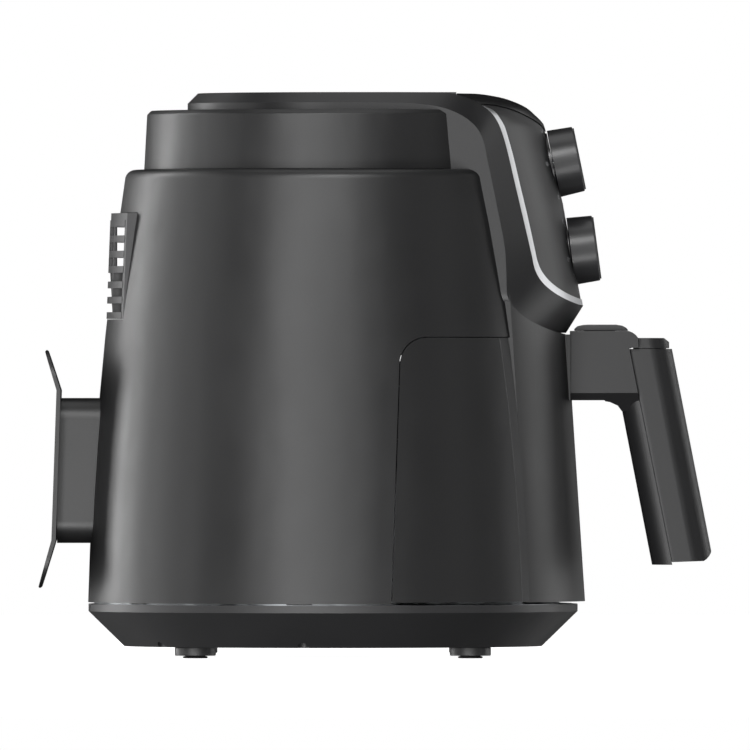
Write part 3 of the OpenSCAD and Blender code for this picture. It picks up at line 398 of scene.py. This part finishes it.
def spline(points, steps):
    # smooth line through given points, with steps parts between each pair
    ends = [points[0]] + list(points) + [points[-1]]
    line = []
    for a, b, c, d in zip(ends, ends[1:], ends[2:], ends[3:]):
        for k in range(steps):
            t = k / steps
            line.append(tuple(
                0.5 * (2 * q + (r - p) * t + (2 * p - 5 * q + 4 * r - s) * t * t
                       + (3 * q - p - 3 * r + s) * t ** 3)
                for p, q, r, s in zip(a, b, c, d)))
    return line + [tuple(points[-1])]


def between(line, value, key, wanted):
    # the wanted coordinate where the line's key coordinate passes value
    for p, q in zip(line, line[1:]):
        if (p[key] - value) * (q[key] - value) <= 0 and p[key] != q[key]:
            return p[wanted] + (q[wanted] - p[wanted]) * (value - p[key]) / (q[key] - p[key])
    first, last = line[0], line[-1]
    return (last if abs(last[key] - value) < abs(first[key] - value) else first)[wanted]


housing = {
    "halfWidth": 84.3,
    "topHeight": 321.1,
    "bandHeight": 315.3,  # outer edge of the sloped band round the rear
    "chamfer": 5.8,  # width of that band
    "rearMiddle": 1.4,  # where the half-round rear end is centred
    "curve": 116,  # radius of the front from side to side
    "windowHalf": 71.0,  # the window holds the trim, the panel and the crown
    "windowLow": 200.1,
    "lowEdge": 184.7,
    "cornerDepth": 25,  # how high the rounded lower corners reach
    "cornerPower": 2.6,
    "wall": 2.8,
    "wallFall": 0.6,  # how far it drops over its thickness beside the window
    "wallTurn": 319,  # above this the wall's thickness lies downwards, below it backwards
    "lip": 4,  # how far the band's inner edge turns in, level with the top plate
    "levelHeight": 320.5,  # above this the lip lies level; below it runs on from the slope
    "slopeLip": 0.01,  # by this share of the slope's width
    "plateFront": 70.0,  # where the top plate ends and the crown begins
    "plateHalf": 76,
    "plateLap": 2,  # how far the plate's edge lies inside the band's
    "edge": 0.45,  # radius of the rounded edges
    "edgeAngle": 24,
}
# The flank hangs from the band's outer edge. Round the rear it hangs straight down, at the front's
# bend its free edge turns a corner, and further down it reaches back from the slope.
flank = {
    "hang": 14,
    "bendTop": 312.4,  # where on the band the corner starts, and how far it drops from there
    "bendDrop": 30.5,
    "cornerStart": (61.6, 298.4),
    "cornerMove": (8.8, 16.5),
    "wide": 35,  # reach back above wideHeight, which narrows towards narrowHeight
    "wideHeight": 262,
    "narrow": 12,
    "narrowHeight": 236,
    "lowGrowth": 6,  # how much further than narrow it reaches under the middle
    "turnIn": 212,  # above this its wall's thickness lies sideways, below it upwards
}
# Side view of the front, as (f, z): down the middle, and down the line where the window's edge is
frontMiddle = [(60, 321.1), (72, 321.1), (83.2, 320.9), (94.1, 319.2), (100.3, 317.5), (106.6, 315),
               (111.2, 312.4), (115.1, 308.9), (118.6, 305.5), (120.6, 302.1), (123.5, 290.6),
               (127.5, 274.7), (131.1, 260.5), (132.2, 254.8), (136.5, 232), (140.8, 209.2),
               (142.5, 200.1), (143.7, 193)]
frontSide = [(60, 321), (68, 320), (74, 318.3), (79, 316.4), (82.7, 314.6), (87, 311.9),
             (90.1, 309.3), (92.4, 305.8), (94.1, 302.6), (95.4, 299.2), (99.6, 284.6),
             (103.3, 268.7), (106.7, 254.5), (108.2, 248.2), (112.8, 227.5), (117.2, 204.7),
             (118.7, 195.6), (120, 188.5)]
frontSteps = 6  # in each span of these lines and of the crown's sides
frontLines = spline([a + b for a, b in zip(frontMiddle, frontSide)], frontSteps)
levelPoints = 4  # a front line's first points lie on the level top, where no height is looked up


def sag(x):
    return housing["curve"] - math.sqrt(housing["curve"] ** 2 - x * x)


def frontProfile(x, inset=0.0):
    # side view of the front at x, moved in by inset
    share = sag(x) / sag(housing["windowHalf"])
    line = [(a + (c - a) * share, b + (d - b) * share) for a, b, c, d in frontLines]
    moved = []
    for k, (f, z) in enumerate(line):
        (f0, z0), (f1, z1) = line[max(k - 1, 0)], line[min(k + 1, len(line) - 1)]
        length = math.hypot(f1 - f0, z1 - z0)
        moved.append((f + inset * (z1 - z0) / length, z - inset * (f1 - f0) / length))
    return moved


def frontAt(x, z, inset=0.0):
    return between(frontProfile(x, inset)[levelPoints:], z, 1, 0)


def cornerHeight(x, half, low):
    # height of a rounded U's lower edge
    power = housing["cornerPower"]
    return low + housing["cornerDepth"] * (1 - (1 - min(abs(x) / half, 1) ** power) ** (1 / power))


def cornerPoint(angle, half, low):
    # the same edge by angle: 0 at the side, a quarter turn at the middle
    e = 2 / housing["cornerPower"]
    return (half * math.cos(angle) ** e if angle < math.pi / 2 - 1e-6 else 0.0,
            low + housing["cornerDepth"] * (1 - math.sin(angle) ** e))


# Rails of the housing's sloped band, from the rear round one side to the middle of the lower edge:
# the outer one on the flank as (f, z), the inner one beside the window as (x, f, z), and the
# lower edge seen from above as (x, f)
flankRail = [(1.4, 315.3), (20, 315.3), (40, 315), (51, 314.1), (61.6, 312.4), (72.1, 308.4),
             (80.4, 302.1), (84.8, 294.7), (87.8, 281.9), (93.2, 255.4), (97.5, 232.3),
             (98.5, 209.7)]
windowRail = [(78.5, 1.4, 321.1), (78.5, 20, 321.1), (78.5, 42, 321.1), (78.3, 58, 320.9),
              (76.8, 68, 320.1), (74, 77, 317.5), (71.6, 84.5, 313.6), (71, 91.8, 306.8),
              (71, 97.2, 294), (71, 104, 265.8), (71, 110.6, 237.6), (71, 113.4, 225.1)]
lowRail = [(0, 132.8), (18, 131.6), (33, 128.2), (49.5, 121.3), (61.7, 115), (74, 107.8),
           (81.2, 102.4), (84.3, 98.5)]
# steps round the rear's quarter, in each span of the rails and of the lower edge, round the low
# corner, where a spacing above 1 makes them shorter towards the side, and round the top plate
bandSteps = {"rear": 24, "rails": 8, "low": 6, "corner": 28, "cornerSpacing": 1.2, "plate": 48}


def flankReach(f, z):
    # how the flank runs on from the band's outer edge at (f, z)
    if z > flank["wideHeight"]:
        back = flank["wide"]
    else:
        gain = (flank["wide"] - flank["narrow"]) * (z - flank["narrowHeight"])
        gain /= flank["wideHeight"] - flank["narrowHeight"]
        back = max(flank["narrow"], flank["narrow"] + gain)
    share = (flank["bendTop"] - z) / flank["bendDrop"]
    if share <= 0:
        return 0, 0, -flank["hang"]
    if share < 1:
        (startF, startZ), (moveF, moveZ) = flank["cornerStart"], flank["cornerMove"]
        return 0, startF - moveF * share - f, startZ - moveZ * share - z
    return 0, -back, 0


def bandStations():
    # outer point, inner point and the flank's reach, from the rear's middle to the lower edge's
    h, steps, stations = housing, bandSteps, []
    for k in range(steps["rear"]):
        a = math.pi / 2 * k / steps["rear"]
        outer, inner = [(r * math.sin(a), h["rearMiddle"] - r * math.cos(a), z) for r, z in
                        ((h["halfWidth"], h["bandHeight"]),
                         (h["halfWidth"] - h["chamfer"], h["topHeight"]))]
        stations.append((outer, inner, (0, 0, -flank["hang"])))
    for f, z, *inner in spline([o + i for o, i in zip(flankRail, windowRail)], steps["rails"])[:-1]:
        stations.append(((h["halfWidth"], f, z), inner, flankReach(f, z)))
    lowLine = spline(lowRail, steps["low"])
    for k in range(steps["corner"] + 1):
        a = math.pi / 2 * (k / steps["corner"]) ** steps["cornerSpacing"]
        x, z = cornerPoint(a, h["halfWidth"], h["lowEdge"])
        u, v = cornerPoint(a, h["windowHalf"], h["windowLow"])
        reach = -flank["narrow"] - flank["lowGrowth"] * k / steps["corner"]
        stations.append(((x, between(lowLine, x, 0, 1), z), (u, frontAt(u, v), v), (0, reach, 0)))
    return stations


def makeHousing():
    h, rings = housing, []
    for outer, inner, reach in bandStations():
        o, i, r = Vector(outer), Vector(inner), Vector(reach)
        inwards = Vector((0, 0, 1))
        if o.z > flank["turnIn"]:
            inwards = Vector((-1 if o.x > 1 else 0, 0, 0))
        if o.z > flank["bendTop"] and o.y < h["rearMiddle"]:
            inwards = Vector((-o.x, h["rearMiddle"] - o.y, 0)).normalized()
        depth = Vector((0, -h["wall"], -h["wallFall"]))
        if i.z > h["wallTurn"]:
            depth = Vector((0, 0, -h["wall"]))
        lip = (i - o) * h["slopeLip"]
        if i.z > h["levelHeight"]:
            lip = inwards * h["lip"]
            lip.z = 0
        rings.append([o + r, o, i, i + lip, i + lip + depth, o + r + inwards * h["wall"]])
    mirrored = [[Vector((-p.x, p.y, p.z)) for p in ring] for ring in rings[1:-1]]
    band = loft("controlHousing", rings + mirrored[::-1], closed=True)
    radius = h["halfWidth"] - h["chamfer"] - h["plateLap"]
    turns = [math.pi * k / bandSteps["plate"] for k in range(bandSteps["plate"] + 1)]
    rear = [radius * Vector((math.cos(a), math.sin(a))) for a in turns]
    outline = [(p.x, h["rearMiddle"] - p.y) for p in rear]
    outline += [(-h["plateHalf"], h["plateFront"]), (h["plateHalf"], h["plateFront"])]
    plate = prism("topPlate", outline, "z", h["topHeight"] - h["wall"], h["topHeight"])
    return combine(band, plate, "UNION")


def gridPiece(name, outer, inner):
    # a shell between two grids of points, each a list of columns
    shape = bmesh.new()
    top, under = [[[shape.verts.new(p) for p in column] for column in layer]
                  for layer in (outer, inner)]
    wide, rows = len(outer), len(outer[0])
    for layer in (top, under):
        for i in range(wide - 1):
            for k in range(rows - 1):
                shape.faces.new((layer[i][k], layer[i][k + 1],
                                 layer[i + 1][k + 1], layer[i + 1][k]))
    for i in (0, wide - 1):
        for k in range(rows - 1):
            shape.faces.new((top[i][k], top[i][k + 1], under[i][k + 1], under[i][k]))
    for k in (0, rows - 1):
        for i in range(wide - 1):
            shape.faces.new((top[i][k], top[i + 1][k], under[i + 1][k], under[i][k]))
    return addPiece(name, shape)


crown = {
    "low": 299.4,  # height of its front edge in the middle
    "rise": 15.2,  # how much higher that edge lies at the sides
    "half": 67.2,  # how far from the middle it is fully risen
    "power": 1.7,  # above 1, it stays low for longer round the middle
    "rear": 70.4,  # where it meets the top plate
    "halfWidth": 70.7,
    # its half width from the rear on, as (f, x); ahead of the last one it stays the same
    "sides": [(70.3, 76.2), (77, 73.7), (84.5, 71.3), (91.8, 70.7)],
    "inset": 0.05,  # its face and its inside, below the housing's outline
    "inside": 2.9,
    "rows": 26,
    "columns": 64,
    "edge": 0.2,
}


def crownEdge(x):
    turn = math.pi / 2 * min(abs(x) / crown["half"], 1)
    return crown["low"] + crown["rise"] * math.sin(turn) ** crown["power"]


def evenLine(line, parts):
    # points at even distances along the line
    total = [0.0]
    for p, q in zip(line, line[1:]):
        total.append(total[-1] + math.dist(p, q))
    even = []
    for m in range(parts + 1):
        goal = total[-1] * m / parts
        n = max(i for i, t in enumerate(total[:-1]) if t <= goal + 1e-9)
        part = (goal - total[n]) / (total[n + 1] - total[n])
        even.append(tuple(a + (b - a) * part for a, b in zip(line[n], line[n + 1])))
    return even


def crownColumns(inset):
    sides = spline(crown["sides"], frontSteps)
    columns = []
    for k in range(crown["columns"] + 1):
        share = -math.cos(math.pi * k / crown["columns"])
        x = share * crown["halfWidth"]
        profile = frontProfile(x, inset)
        rear, front = crown["rear"], between(profile[levelPoints:], crownEdge(x), 1, 0)
        line = [(rear, between(profile, rear, 0, 1))]
        line += [(f, z) for f, z in profile if rear < f < front and z > crownEdge(x)]
        line.append((front, crownEdge(x)))
        columns.append([
            (share * between(sides, f, 0, 1) if f < crown["sides"][-1][0] else x, f, z)
            for f, z in evenLine(line, crown["rows"])])
    return columns


panel = {
    "half": 67.0,
    "low": 204.1,
    "gap": 0.3,  # to the crown above it
    "inset": 0.6,
    "inside": 3.2,
    "rows": 44,
    "columns": 64,
    "edge": 0.2,
}


def panelColumns(inset):
    columns = []
    for k in range(panel["columns"] + 1):
        x = -panel["half"] * math.cos(math.pi * k / panel["columns"])
        bottom, top = cornerHeight(x, panel["half"], panel["low"]), crownEdge(x) - panel["gap"]
        profile = frontProfile(x, inset)[levelPoints:]
        columns.append([])
        for m in range(panel["rows"] + 1):
            z = bottom + (top - bottom) * (m / panel["rows"])
            columns[-1].append((x, between(profile, z, 1, 0), z))
    return columns


trim = {
    "top": 314.0,
    "taper": 2.6,  # length of its point
    "tip": 0.12,  # how wide the point's end is, as a share of the width
    "width": 3.6,
    "outerHalf": 70.8,
    "outerLow": 200.3,
    "innerHalf": 67.2,
    "innerLow": 203.9,
    "cornerTop": 225.1,
    "skew": 0.3,  # how much lower its inner edge lies than its outer one
    "edgeInset": 0.1,  # how far its edges, its middle and its back lie below the housing's outline
    "middleInset": 0.02,
    "backInset": 3.0,
    "sideSteps": 48,
    "sideSpacing": 1.3,  # above 1, the steps are shorter towards the point
    "cornerSteps": 32,
}


def makeTrim():
    # a plated strip in the groove between the housing and the panel, with a point at its top
    t, stations = trim, []
    for k in range(t["sideSteps"] + 1):
        z = t["top"] - (t["top"] - t["cornerTop"]) * (k / t["sideSteps"]) ** t["sideSpacing"]
        width = t["width"] * min(1, t["tip"] + (t["top"] - z) / t["taper"])
        stations.append((t["outerHalf"], z, t["outerHalf"] - width, z - t["skew"]))
    for k in range(1, t["cornerSteps"] + 1):
        a = math.pi / 2 * (k / t["cornerSteps"]) ** bandSteps["cornerSpacing"]
        stations.append(cornerPoint(a, t["outerHalf"], t["outerLow"])
                        + cornerPoint(a, t["innerHalf"], t["innerLow"]))
    rings = []
    for x0, z0, x1, z1 in stations:
        section = [(x0, z0, t["edgeInset"]), ((x0 + x1) / 2, (z0 + z1) / 2, t["middleInset"]),
                   (x1, z1, t["edgeInset"]), (x1, z1, t["backInset"]), (x0, z0, t["backInset"])]
        rings.append([Vector((x, frontAt(x, z, inset), z)) for x, z, inset in section])
    mirrored = [[Vector((-p.x, p.y, p.z)) for p in ring] for ring in rings[:-1]]
    return loft("trimStrip", rings + mirrored[::-1])


settle(soften(makeHousing(), housing["edge"], housing["edgeAngle"]),
       "black_housing", "housing", "control_housing")
print("control housing shaped")

settle(soften(makeTrim(), 0), "trim_silver", "housing", "trim_strip")
for piece, shape, columns, slot, node in (
        ("crownCover", crown, crownColumns, "black_gloss", "crown_cover"),
        ("controlPanel", panel, panelColumns, "black_housing", "control_panel")):
    plate = gridPiece(piece, columns(shape["inset"]), columns(shape["inside"]))
    settle(soften(plate, shape["edge"]), slot, "housing", node)
print("panel, crown and trim shaped")


dialScale = {
    "tickRadius": 22.4,
    "tickLength": 1.8,
    "halfTick": 0.55,  # length of the ticks without a number, as a share
    "tickWidth": 0.55,
    "numberRadius": 27.2,
    "numberHeight": 3.6,
    "curveSteps": 3,  # in each span of a number's outline
    "inkThickness": 0.05,
    "inkGap": 0.01,
    "weld": 1e-4,  # points of a number closer than this become one
    "lean": 0.975,  # the panel leans back, so heights on it are this much shorter
}
# each dial: its middle's height, where its scale runs in degrees from upright, and its numbers
dials = {
    "temperature": (280.6, (-135, 135), ["80", "100", "120", "140", "160", "180", "200"]),
    "timer": (230.9, (-150, 150), ["0", "5", "10", "15", "20", "25", "30"]),
}


def layOnPanel(piece, middle):
    # bends a flat drawing, in mm as (x to the viewer's right, up, thickness), onto the panel's face
    for vertex in piece.data.vertices:
        across, up, thick = vertex.co
        z = middle + up * dialScale["lean"]
        inset = panel["inset"] - thick - dialScale["inkGap"]
        vertex.co = place(-across, frontAt(abs(across), z, inset), z)
    return piece


def tickMark(angle, length):
    a = math.radians(angle)
    out, side = Vector((math.sin(a), math.cos(a))), Vector((math.cos(a), -math.sin(a)))
    corners = [out * (dialScale["tickRadius"] + r) + side * (w * dialScale["tickWidth"] / 2)
               for r, w in ((0, -1), (0, 1), (length, 1), (length, -1))]
    shape = bmesh.new()
    low = [shape.verts.new((c.x, c.y, 0)) for c in corners]
    high = [shape.verts.new((c.x, c.y, dialScale["inkThickness"])) for c in corners]
    shape.faces.new(low)
    shape.faces.new(high[::-1])
    for k in range(4):
        shape.faces.new((low[k], high[k], high[(k + 1) % 4], low[(k + 1) % 4]))
    return shape


def numberMark(word, angle):
    curve = bpy.data.curves.new("number", "FONT")
    curve.body, curve.size = word, dialScale["numberHeight"]
    curve.align_x, curve.align_y = "CENTER", "CENTER"
    curve.extrude = dialScale["inkThickness"] / 2
    curve.resolution_u = dialScale["curveSteps"]
    holder = bpy.data.objects.new("number", curve)
    scene.collection.objects.link(holder)
    mesh = bpy.data.meshes.new_from_object(holder)
    bpy.data.objects.remove(holder)
    a, radius = math.radians(angle), dialScale["numberRadius"]
    mesh.transform(Matrix.Translation((math.sin(a) * radius, math.cos(a) * radius,
                                       dialScale["inkThickness"] / 2)))
    shape = bmesh.new()
    shape.from_mesh(mesh)
    bmesh.ops.remove_doubles(shape, verts=shape.verts, dist=dialScale["weld"])
    return shape


def makeScale(name, middle, span, numbers):
    steps = 2 * (len(numbers) - 1)
    whole = bmesh.new()
    for k in range(steps + 1):
        angle = span[0] + (span[1] - span[0]) * k / steps
        share = 1 if k % 2 == 0 else dialScale["halfTick"]
        parts = [tickMark(angle, dialScale["tickLength"] * share)]
        if k % 2 == 0:
            parts.append(numberMark(numbers[k // 2], angle))
        for part in parts:
            mesh = bpy.data.meshes.new("mark")
            part.to_mesh(mesh)
            part.free()
            whole.from_mesh(mesh)
    bmesh.ops.recalc_face_normals(whole, faces=whole.faces)
    mesh = bpy.data.meshes.new(name)
    whole.to_mesh(mesh)
    whole.free()
    piece = bpy.data.objects.new(name, mesh)
    scene.collection.objects.link(piece)
    return layOnPanel(piece, middle)


# screen ink: flat grey-white, so thin that only its edge catches light
printedInk = mouldedPlastic("screenInk", "#8e8f90", "#9a9b9c", 0.5, 1.5, 0.5, 0.001)
for dial, (middle, span, numbers) in dials.items():
    settle(makeScale(dial + "Scale", middle, span, numbers), "control_white", "housing",
           finish=printedInk)
print("dial scales printed")


spring = {
    "radius": 5.6,
    "wire": 1.3,
    "turns": 4.5,
    "low": 167.1,
    "high": 178.6,
    "front": 153.0,
    "pressed": 0.69,  # its height under the pressed button, as a share
    "steps": 40,  # to a turn
    "sides": 12,  # of the wire
}


def makeSpring():
    # round wire wound into a coil, its end turns lying flat
    s, rings = spring, []
    height = s["high"] - s["low"] - s["wire"]
    total = int(s["turns"] * s["steps"])
    for k in range(total + 1):
        a = 2 * math.pi * k / s["steps"]
        t = k / total
        lift = s["low"] + s["wire"] / 2 + height * (3 * t * t - 2 * t ** 3)
        centre = Vector((s["radius"] * math.cos(a), s["front"] + s["radius"] * math.sin(a), lift))
        out, up = Vector((math.cos(a), math.sin(a), 0)), Vector((0, 0, 1))
        rings.append([centre + (out * math.cos(b) + up * math.sin(b)) * s["wire"] / 2
                      for b in (2 * math.pi * m / s["sides"] for m in range(s["sides"]))])
    return loft("buttonSpring", rings)


coil = settle(soften(makeSpring(), 0), "bright_steel", bodyOf["button_spring"], "button_spring")
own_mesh(coil)
print("spring wound")


# the dome's skirt reaches down behind the drawer's rear corners and closes the gap there
skirt = {
    "inner": 112.1,
    "outer": 113.1,
    "low": 172.0,
    "high": 206.5,
    "from": 57,  # in degrees from the front
    "to": 71,
    "steps": 8,
    "edge": 0.3,
}


def makeDome():
    s, dome = skirt, copyNode("chamber_dome", "chamberDome")
    for side in (-1, 1):
        rings = []
        for k in range(s["steps"] + 1):
            a = math.radians(s["from"] + (s["to"] - s["from"]) * k / s["steps"])
            rings.append([(side * r * math.sin(a), r * math.cos(a), z) for r, z in (
                (s["inner"], s["low"]), (s["outer"], s["low"]),
                (s["outer"], s["high"]), (s["inner"], s["high"]))])
        combine(dome, loft("skirt", rings), "UNION")
    return dome


settle(soften(makeDome(), skirt["edge"]), "galvanised_steel", bodyOf["chamber_dome"],
       "chamber_dome")
print("dome's skirt closed")


handle = {
    "seat": 135.1,  # where the handle meets the drawer; forward distances below start here
    "halfBracket": 19,
    "topHeight": 185.8,
    "crestWidth": 4.4,
    "footHalf": 11.5,  # half width of the plate that the cap stands on
    "lean": 11,  # degrees from upright; the grip's lower end stands further forward
    "gripHalf": 16,
    "gripDepth": 34.6,
    "gripCorner": 13,
    "gripMiddle": (52.2, 115),
    "gripReach": (-60, 80),  # down and up from that middle
    "edge": 0.5,
}
# (f, z) from the seat: the raised sides that carry the bracket's line on to the cap, and that plate
crestOutline = [(24, 176.2), (24, 185.8), (33.2, 185.8), (35.4, 184.9), (37.2, 183.6),
                (38.7, 181.8), (38.7, 176.2)]
footOutline = [(36, 175.3), (36, 176.4), (54.6, 176.4), (54.6, 175.3)]
# what is cut off under the bracket's flanks
flankCut = {
    "top": 151.8,
    "low": 138,
    "inner": 9.6,  # how far in it reaches at its lowest
    "reach": 38.3,  # where it ends at the top, and how far it goes on for each mm down
    "slope": 0.195,
}


def fromSeat(points):
    return [(handle["seat"] + f, z) for f, z in points]


def makeGrip():
    # a bar of the grip's section, to keep the flanks' cut off the grip
    h = handle
    lean = math.radians(h["lean"])
    up, out = (-math.sin(lean), math.cos(lean)), (math.cos(lean), math.sin(lean))
    corner = [(h["gripCorner"] * math.cos(a), h["gripCorner"] * math.sin(a))
              for a in (math.radians(v) for v in range(0, 91, 6))]
    half, deep = h["gripHalf"] - h["gripCorner"], h["gripDepth"] / 2 - h["gripCorner"]
    ring = [(sx * (half + (a if turn else b)), sy * (deep + (b if turn else a)))
            for sx, sy, turn in ((1, 1, True), (-1, 1, False), (-1, -1, True), (1, -1, False))
            for a, b in corner]
    f, z = h["seat"] + h["gripMiddle"][0], h["gripMiddle"][1]
    return loft("grip", [[(x, f + out[0] * q + up[0] * t, z + out[1] * q + up[1] * t)
                          for x, q in ring] for t in h["gripReach"]])


def makeHandleBody():
    # the built bracket, carried on to the cap in one round, with its lower edges drawn in
    h, c = handle, flankCut
    body = copyNode("handle_body", "handleBody")
    for side in (-1, 1):
        low, high = sorted((side * h["halfBracket"], side * (h["halfBracket"] - h["crestWidth"])))
        combine(body, prism("crest", fromSeat(crestOutline), "x", low, high), "UNION")
    foot = prism("capFoot", fromSeat(footOutline), "x", -h["footHalf"], h["footHalf"])
    combine(body, foot, "UNION")
    for side in (-1, 1):
        outer, inner = side * (h["halfBracket"] + 1), side * (h["halfBracket"] - c["inner"])
        wedge = [(outer, c["top"]), (outer, c["low"]), (inner, c["low"])]
        cut = loft("wedge", [
            [(x, h["seat"] - 1, z) for x, z in wedge],
            [(x, h["seat"] + c["reach"] + (c["top"] - z) * c["slope"], z) for x, z in wedge]])
        combine(cut, makeGrip(), "DIFFERENCE")
        combine(body, cut, "DIFFERENCE")
    return body


guard = {
    # (f, z) from the seat and from the handle's top
    "outline": [(2.4, 0), (2.4, 1.0), (4.2, 2.6), (7, 3.3), (10, 3.5), (26, 3.5), (29.6, 2.9),
                (32, 1.6), (33.2, 0)],
    "gap": 0.1,
    "half": 15.5,
    "rail": (11.7, 13.5),  # the inner and outer side of the rails that guide it
    "railEnds": (8.9, 24.9),
    "railHeights": (-1.8, 0.6),
    "edge": 0.7,
}


def makeGuard():
    top, seat = handle["topHeight"], handle["seat"]
    outline = [(f, top + guard["gap"] + z) for f, z in guard["outline"]]
    cover = prism("buttonGuard", fromSeat(outline), "x", -guard["half"], guard["half"])
    (rear, front), (low, high) = guard["railEnds"], guard["railHeights"]
    for side in (-1, 1):
        near, far = sorted(side * x for x in guard["rail"])
        rail = block("rail", (near, seat + rear, top + low), (far, seat + front, top + high))
        combine(cover, rail, "UNION")
    return cover


settle(soften(makeHandleBody(), handle["edge"]), "grip_black", bodyOf["handle_body"], "handle_body")
settle(soften(makeGuard(), guard["edge"]), "black_gloss", bodyOf["button_guard"], "button_guard")
print("handle shaped")


# parts that keep their built shape: slot of the finish, radius of the rounded edges
roundedParts = {
    "body_shell": ("black_body", 0.4),
    "top_cap": ("black_body", 0.4),
    "base_tray": ("black_base", 0.5),
    "chamber_floor": ("galvanised_steel", 0.2),
    "feet": ("black_base", 0.6),
    "foot_pads": ("rubber_black", 0.4),
    "base_screws": ("bright_steel", 0.15),
    "dial_discs": ("black_gloss", 0.3),
    "rear_vent_grille": ("black_base", 0.3),
    "cord_bracket": ("black_body", 0.7),
    "cord_bracket_screws": ("bright_steel", 0.15),
    "mains_inlet": ("rubber_black", 0.4),
    "chamber_liner": ("galvanised_steel", 0.2),
    "heating_element": ("element_steel", 0),
    "element_clips": ("bright_steel", 0.15),
    "motor": ("motor_steel", 0.5),
    "motor_bracket": ("galvanised_steel", 0.2),
    "motor_screws": ("bright_steel", 0.15),
    "air_duct": ("galvanised_steel", 0.2),
    "thermostat": ("control_white", 0.4),
    "timer": ("control_white", 0.4),
    "control_bracket": ("galvanised_steel", 0.2),
    "door_switch": ("inner_black", 0.3),
    "thermal_fuse": ("control_white", 0.25),
    "terminal_block": ("control_white", 0.4),
    "fan_impeller": ("aluminium_fan", 0.2),
    "motor_shaft": ("bright_steel", 0.3),
    "cooling_fan": ("inner_black", 0.25),
    "temperature_knob": ("knob_black", 0.5),
    "timer_knob": ("knob_black", 0.5),
    "temperature_spindle": ("bright_steel", 0.3),
    "timer_spindle": ("bright_steel", 0.3),
    "drawer_front": ("black_body", 0.5),
    "drawer_wraps": ("black_body", 0.35),
    "drawer_frame": ("inner_black", 0.3),
    "pan": ("nonstick_black", 0.3),
    "pan_screws": ("bright_steel", 0.15),
    "basket": ("nonstick_black", 0.25),
    "basket_bumpers": ("rubber_black", 0.5),
    "handle_mount": ("galvanised_steel", 0.3),
    "handle_mount_screws": ("bright_steel", 0.15),
    "handle_cover": ("grip_black", 0.6),
    "handle_cap": ("grip_black", 0.5),
    "handle_screws": ("bright_steel", 0.15),
    "release_button": ("button_grey", 0.4),
}


def camelName(node):
    head, *rest = node.split("_")
    return head + "".join(word.title() for word in rest)


for node, (slot, radius) in roundedParts.items():
    settle(soften(copyNode(node, camelName(node)), radius), slot, bodyOf[node], node)
print("built parts rounded and finished")


studio = {
    "floorRadius": 2500,
    "floorSides": 96,
    "floorPaint": ("#f0f0f0", "#f4f4f4"),
    "floorRoughness": 0.7,
    "floorClouds": 3.0,  # scale of its faint clouds: three to a metre
    "floorWhite": "#f2f2f2",
    "floorGlow": 1.1,
    "backdrop": "#ffffff",
}
# upright strip boxes in a ring round the object: watts by azimuth, which is 0 at the camera and
# grows towards the front
stripBoxes = {-120: 18.5, -105: 1.9, -90: 4.1, -70: 4.1, -22: 12.6, -10: 3, 2: 4.6, 15: 0.9,
              60: 1.5, 105: 4.8, 120: 4.8, 150: 1.2}
stripBox = {"height": 200, "distance": 1500, "width": 300, "tall": 2200}
# boxes above and below: azimuth, height, distance, the panel's width and height, watts
fillBoxes = {
    "lowFill": (0, -600, 1500, 900, 400, 9),
    "highFill": (0, 1300, 1500, 800, 500, 11.7),
    "highRear": (-120, 1300, 1500, 600, 600, 2.7),
    "overhead": (0, 1500, 1, 900, 900, 3.1),
}
lightAim = (0, 0, 160)


def makeStage():
    shape = bmesh.new()
    bmesh.ops.create_circle(shape, cap_ends=True, segments=studio["floorSides"],
                            radius=studio["floorRadius"])
    floor = addPiece("studioFloor", shape)
    material, tree, where = startMaterial("paintedFloor")
    cloud = addNode(tree, "ShaderNodeTexNoise", {"Vector": where, "Scale": studio["floorClouds"]})
    shade = addNode(tree, "ShaderNodeMapRange", {"Value": cloud.outputs["Fac"], **noiseRange})
    dark, light = studio["floorPaint"]
    colour = addNode(tree, "ShaderNodeMix", {
        "Factor": shade.outputs["Result"], "A": linear(dark), "B": linear(light)},
        data_type="RGBA")
    floor.data.materials.append(finishMaterial(material, {
        "Base Color": colour.outputs["Result"], "Roughness": studio["floorRoughness"],
        "Emission Color": linear(studio["floorWhite"]), "Emission Strength": studio["floorGlow"]}))
    # the low lights shine through the floor, and it throws nothing back on the object
    floor.visible_diffuse = floor.visible_glossy = floor.visible_shadow = False
    world = bpy.data.worlds.new("studioWorld")
    scene.world = world
    world.use_nodes = True
    background = world.node_tree.nodes["Background"]
    background.inputs["Color"].default_value = linear(studio["backdrop"])
    background.inputs["Strength"].default_value = 1.0
    world.cycles_visibility.diffuse = world.cycles_visibility.glossy = False


def areaLight(name, azimuth, height, distance, width, tall, power):
    data = bpy.data.lights.new(name, "AREA")
    data.shape, data.size, data.size_y, data.energy = "RECTANGLE", width * mm, tall * mm, power
    light = bpy.data.objects.new(name, data)
    scene.collection.objects.link(light)
    a = math.radians(azimuth)
    light.location = place(-distance * math.cos(a), distance * math.sin(a), height)
    aim = place(*lightAim) - light.location
    light.rotation_euler = aim.to_track_quat("-Z", "Y").to_euler()
    light.visible_camera = False


makeStage()
for azimuth, power in stripBoxes.items():
    areaLight("strip%d" % azimuth, azimuth, stripBox["height"], stripBox["distance"],
              stripBox["width"], stripBox["tall"], power)
for name, values in fillBoxes.items():
    areaLight(name, *values)
scene.view_settings.view_transform = "Standard"
print("stage and lights set")
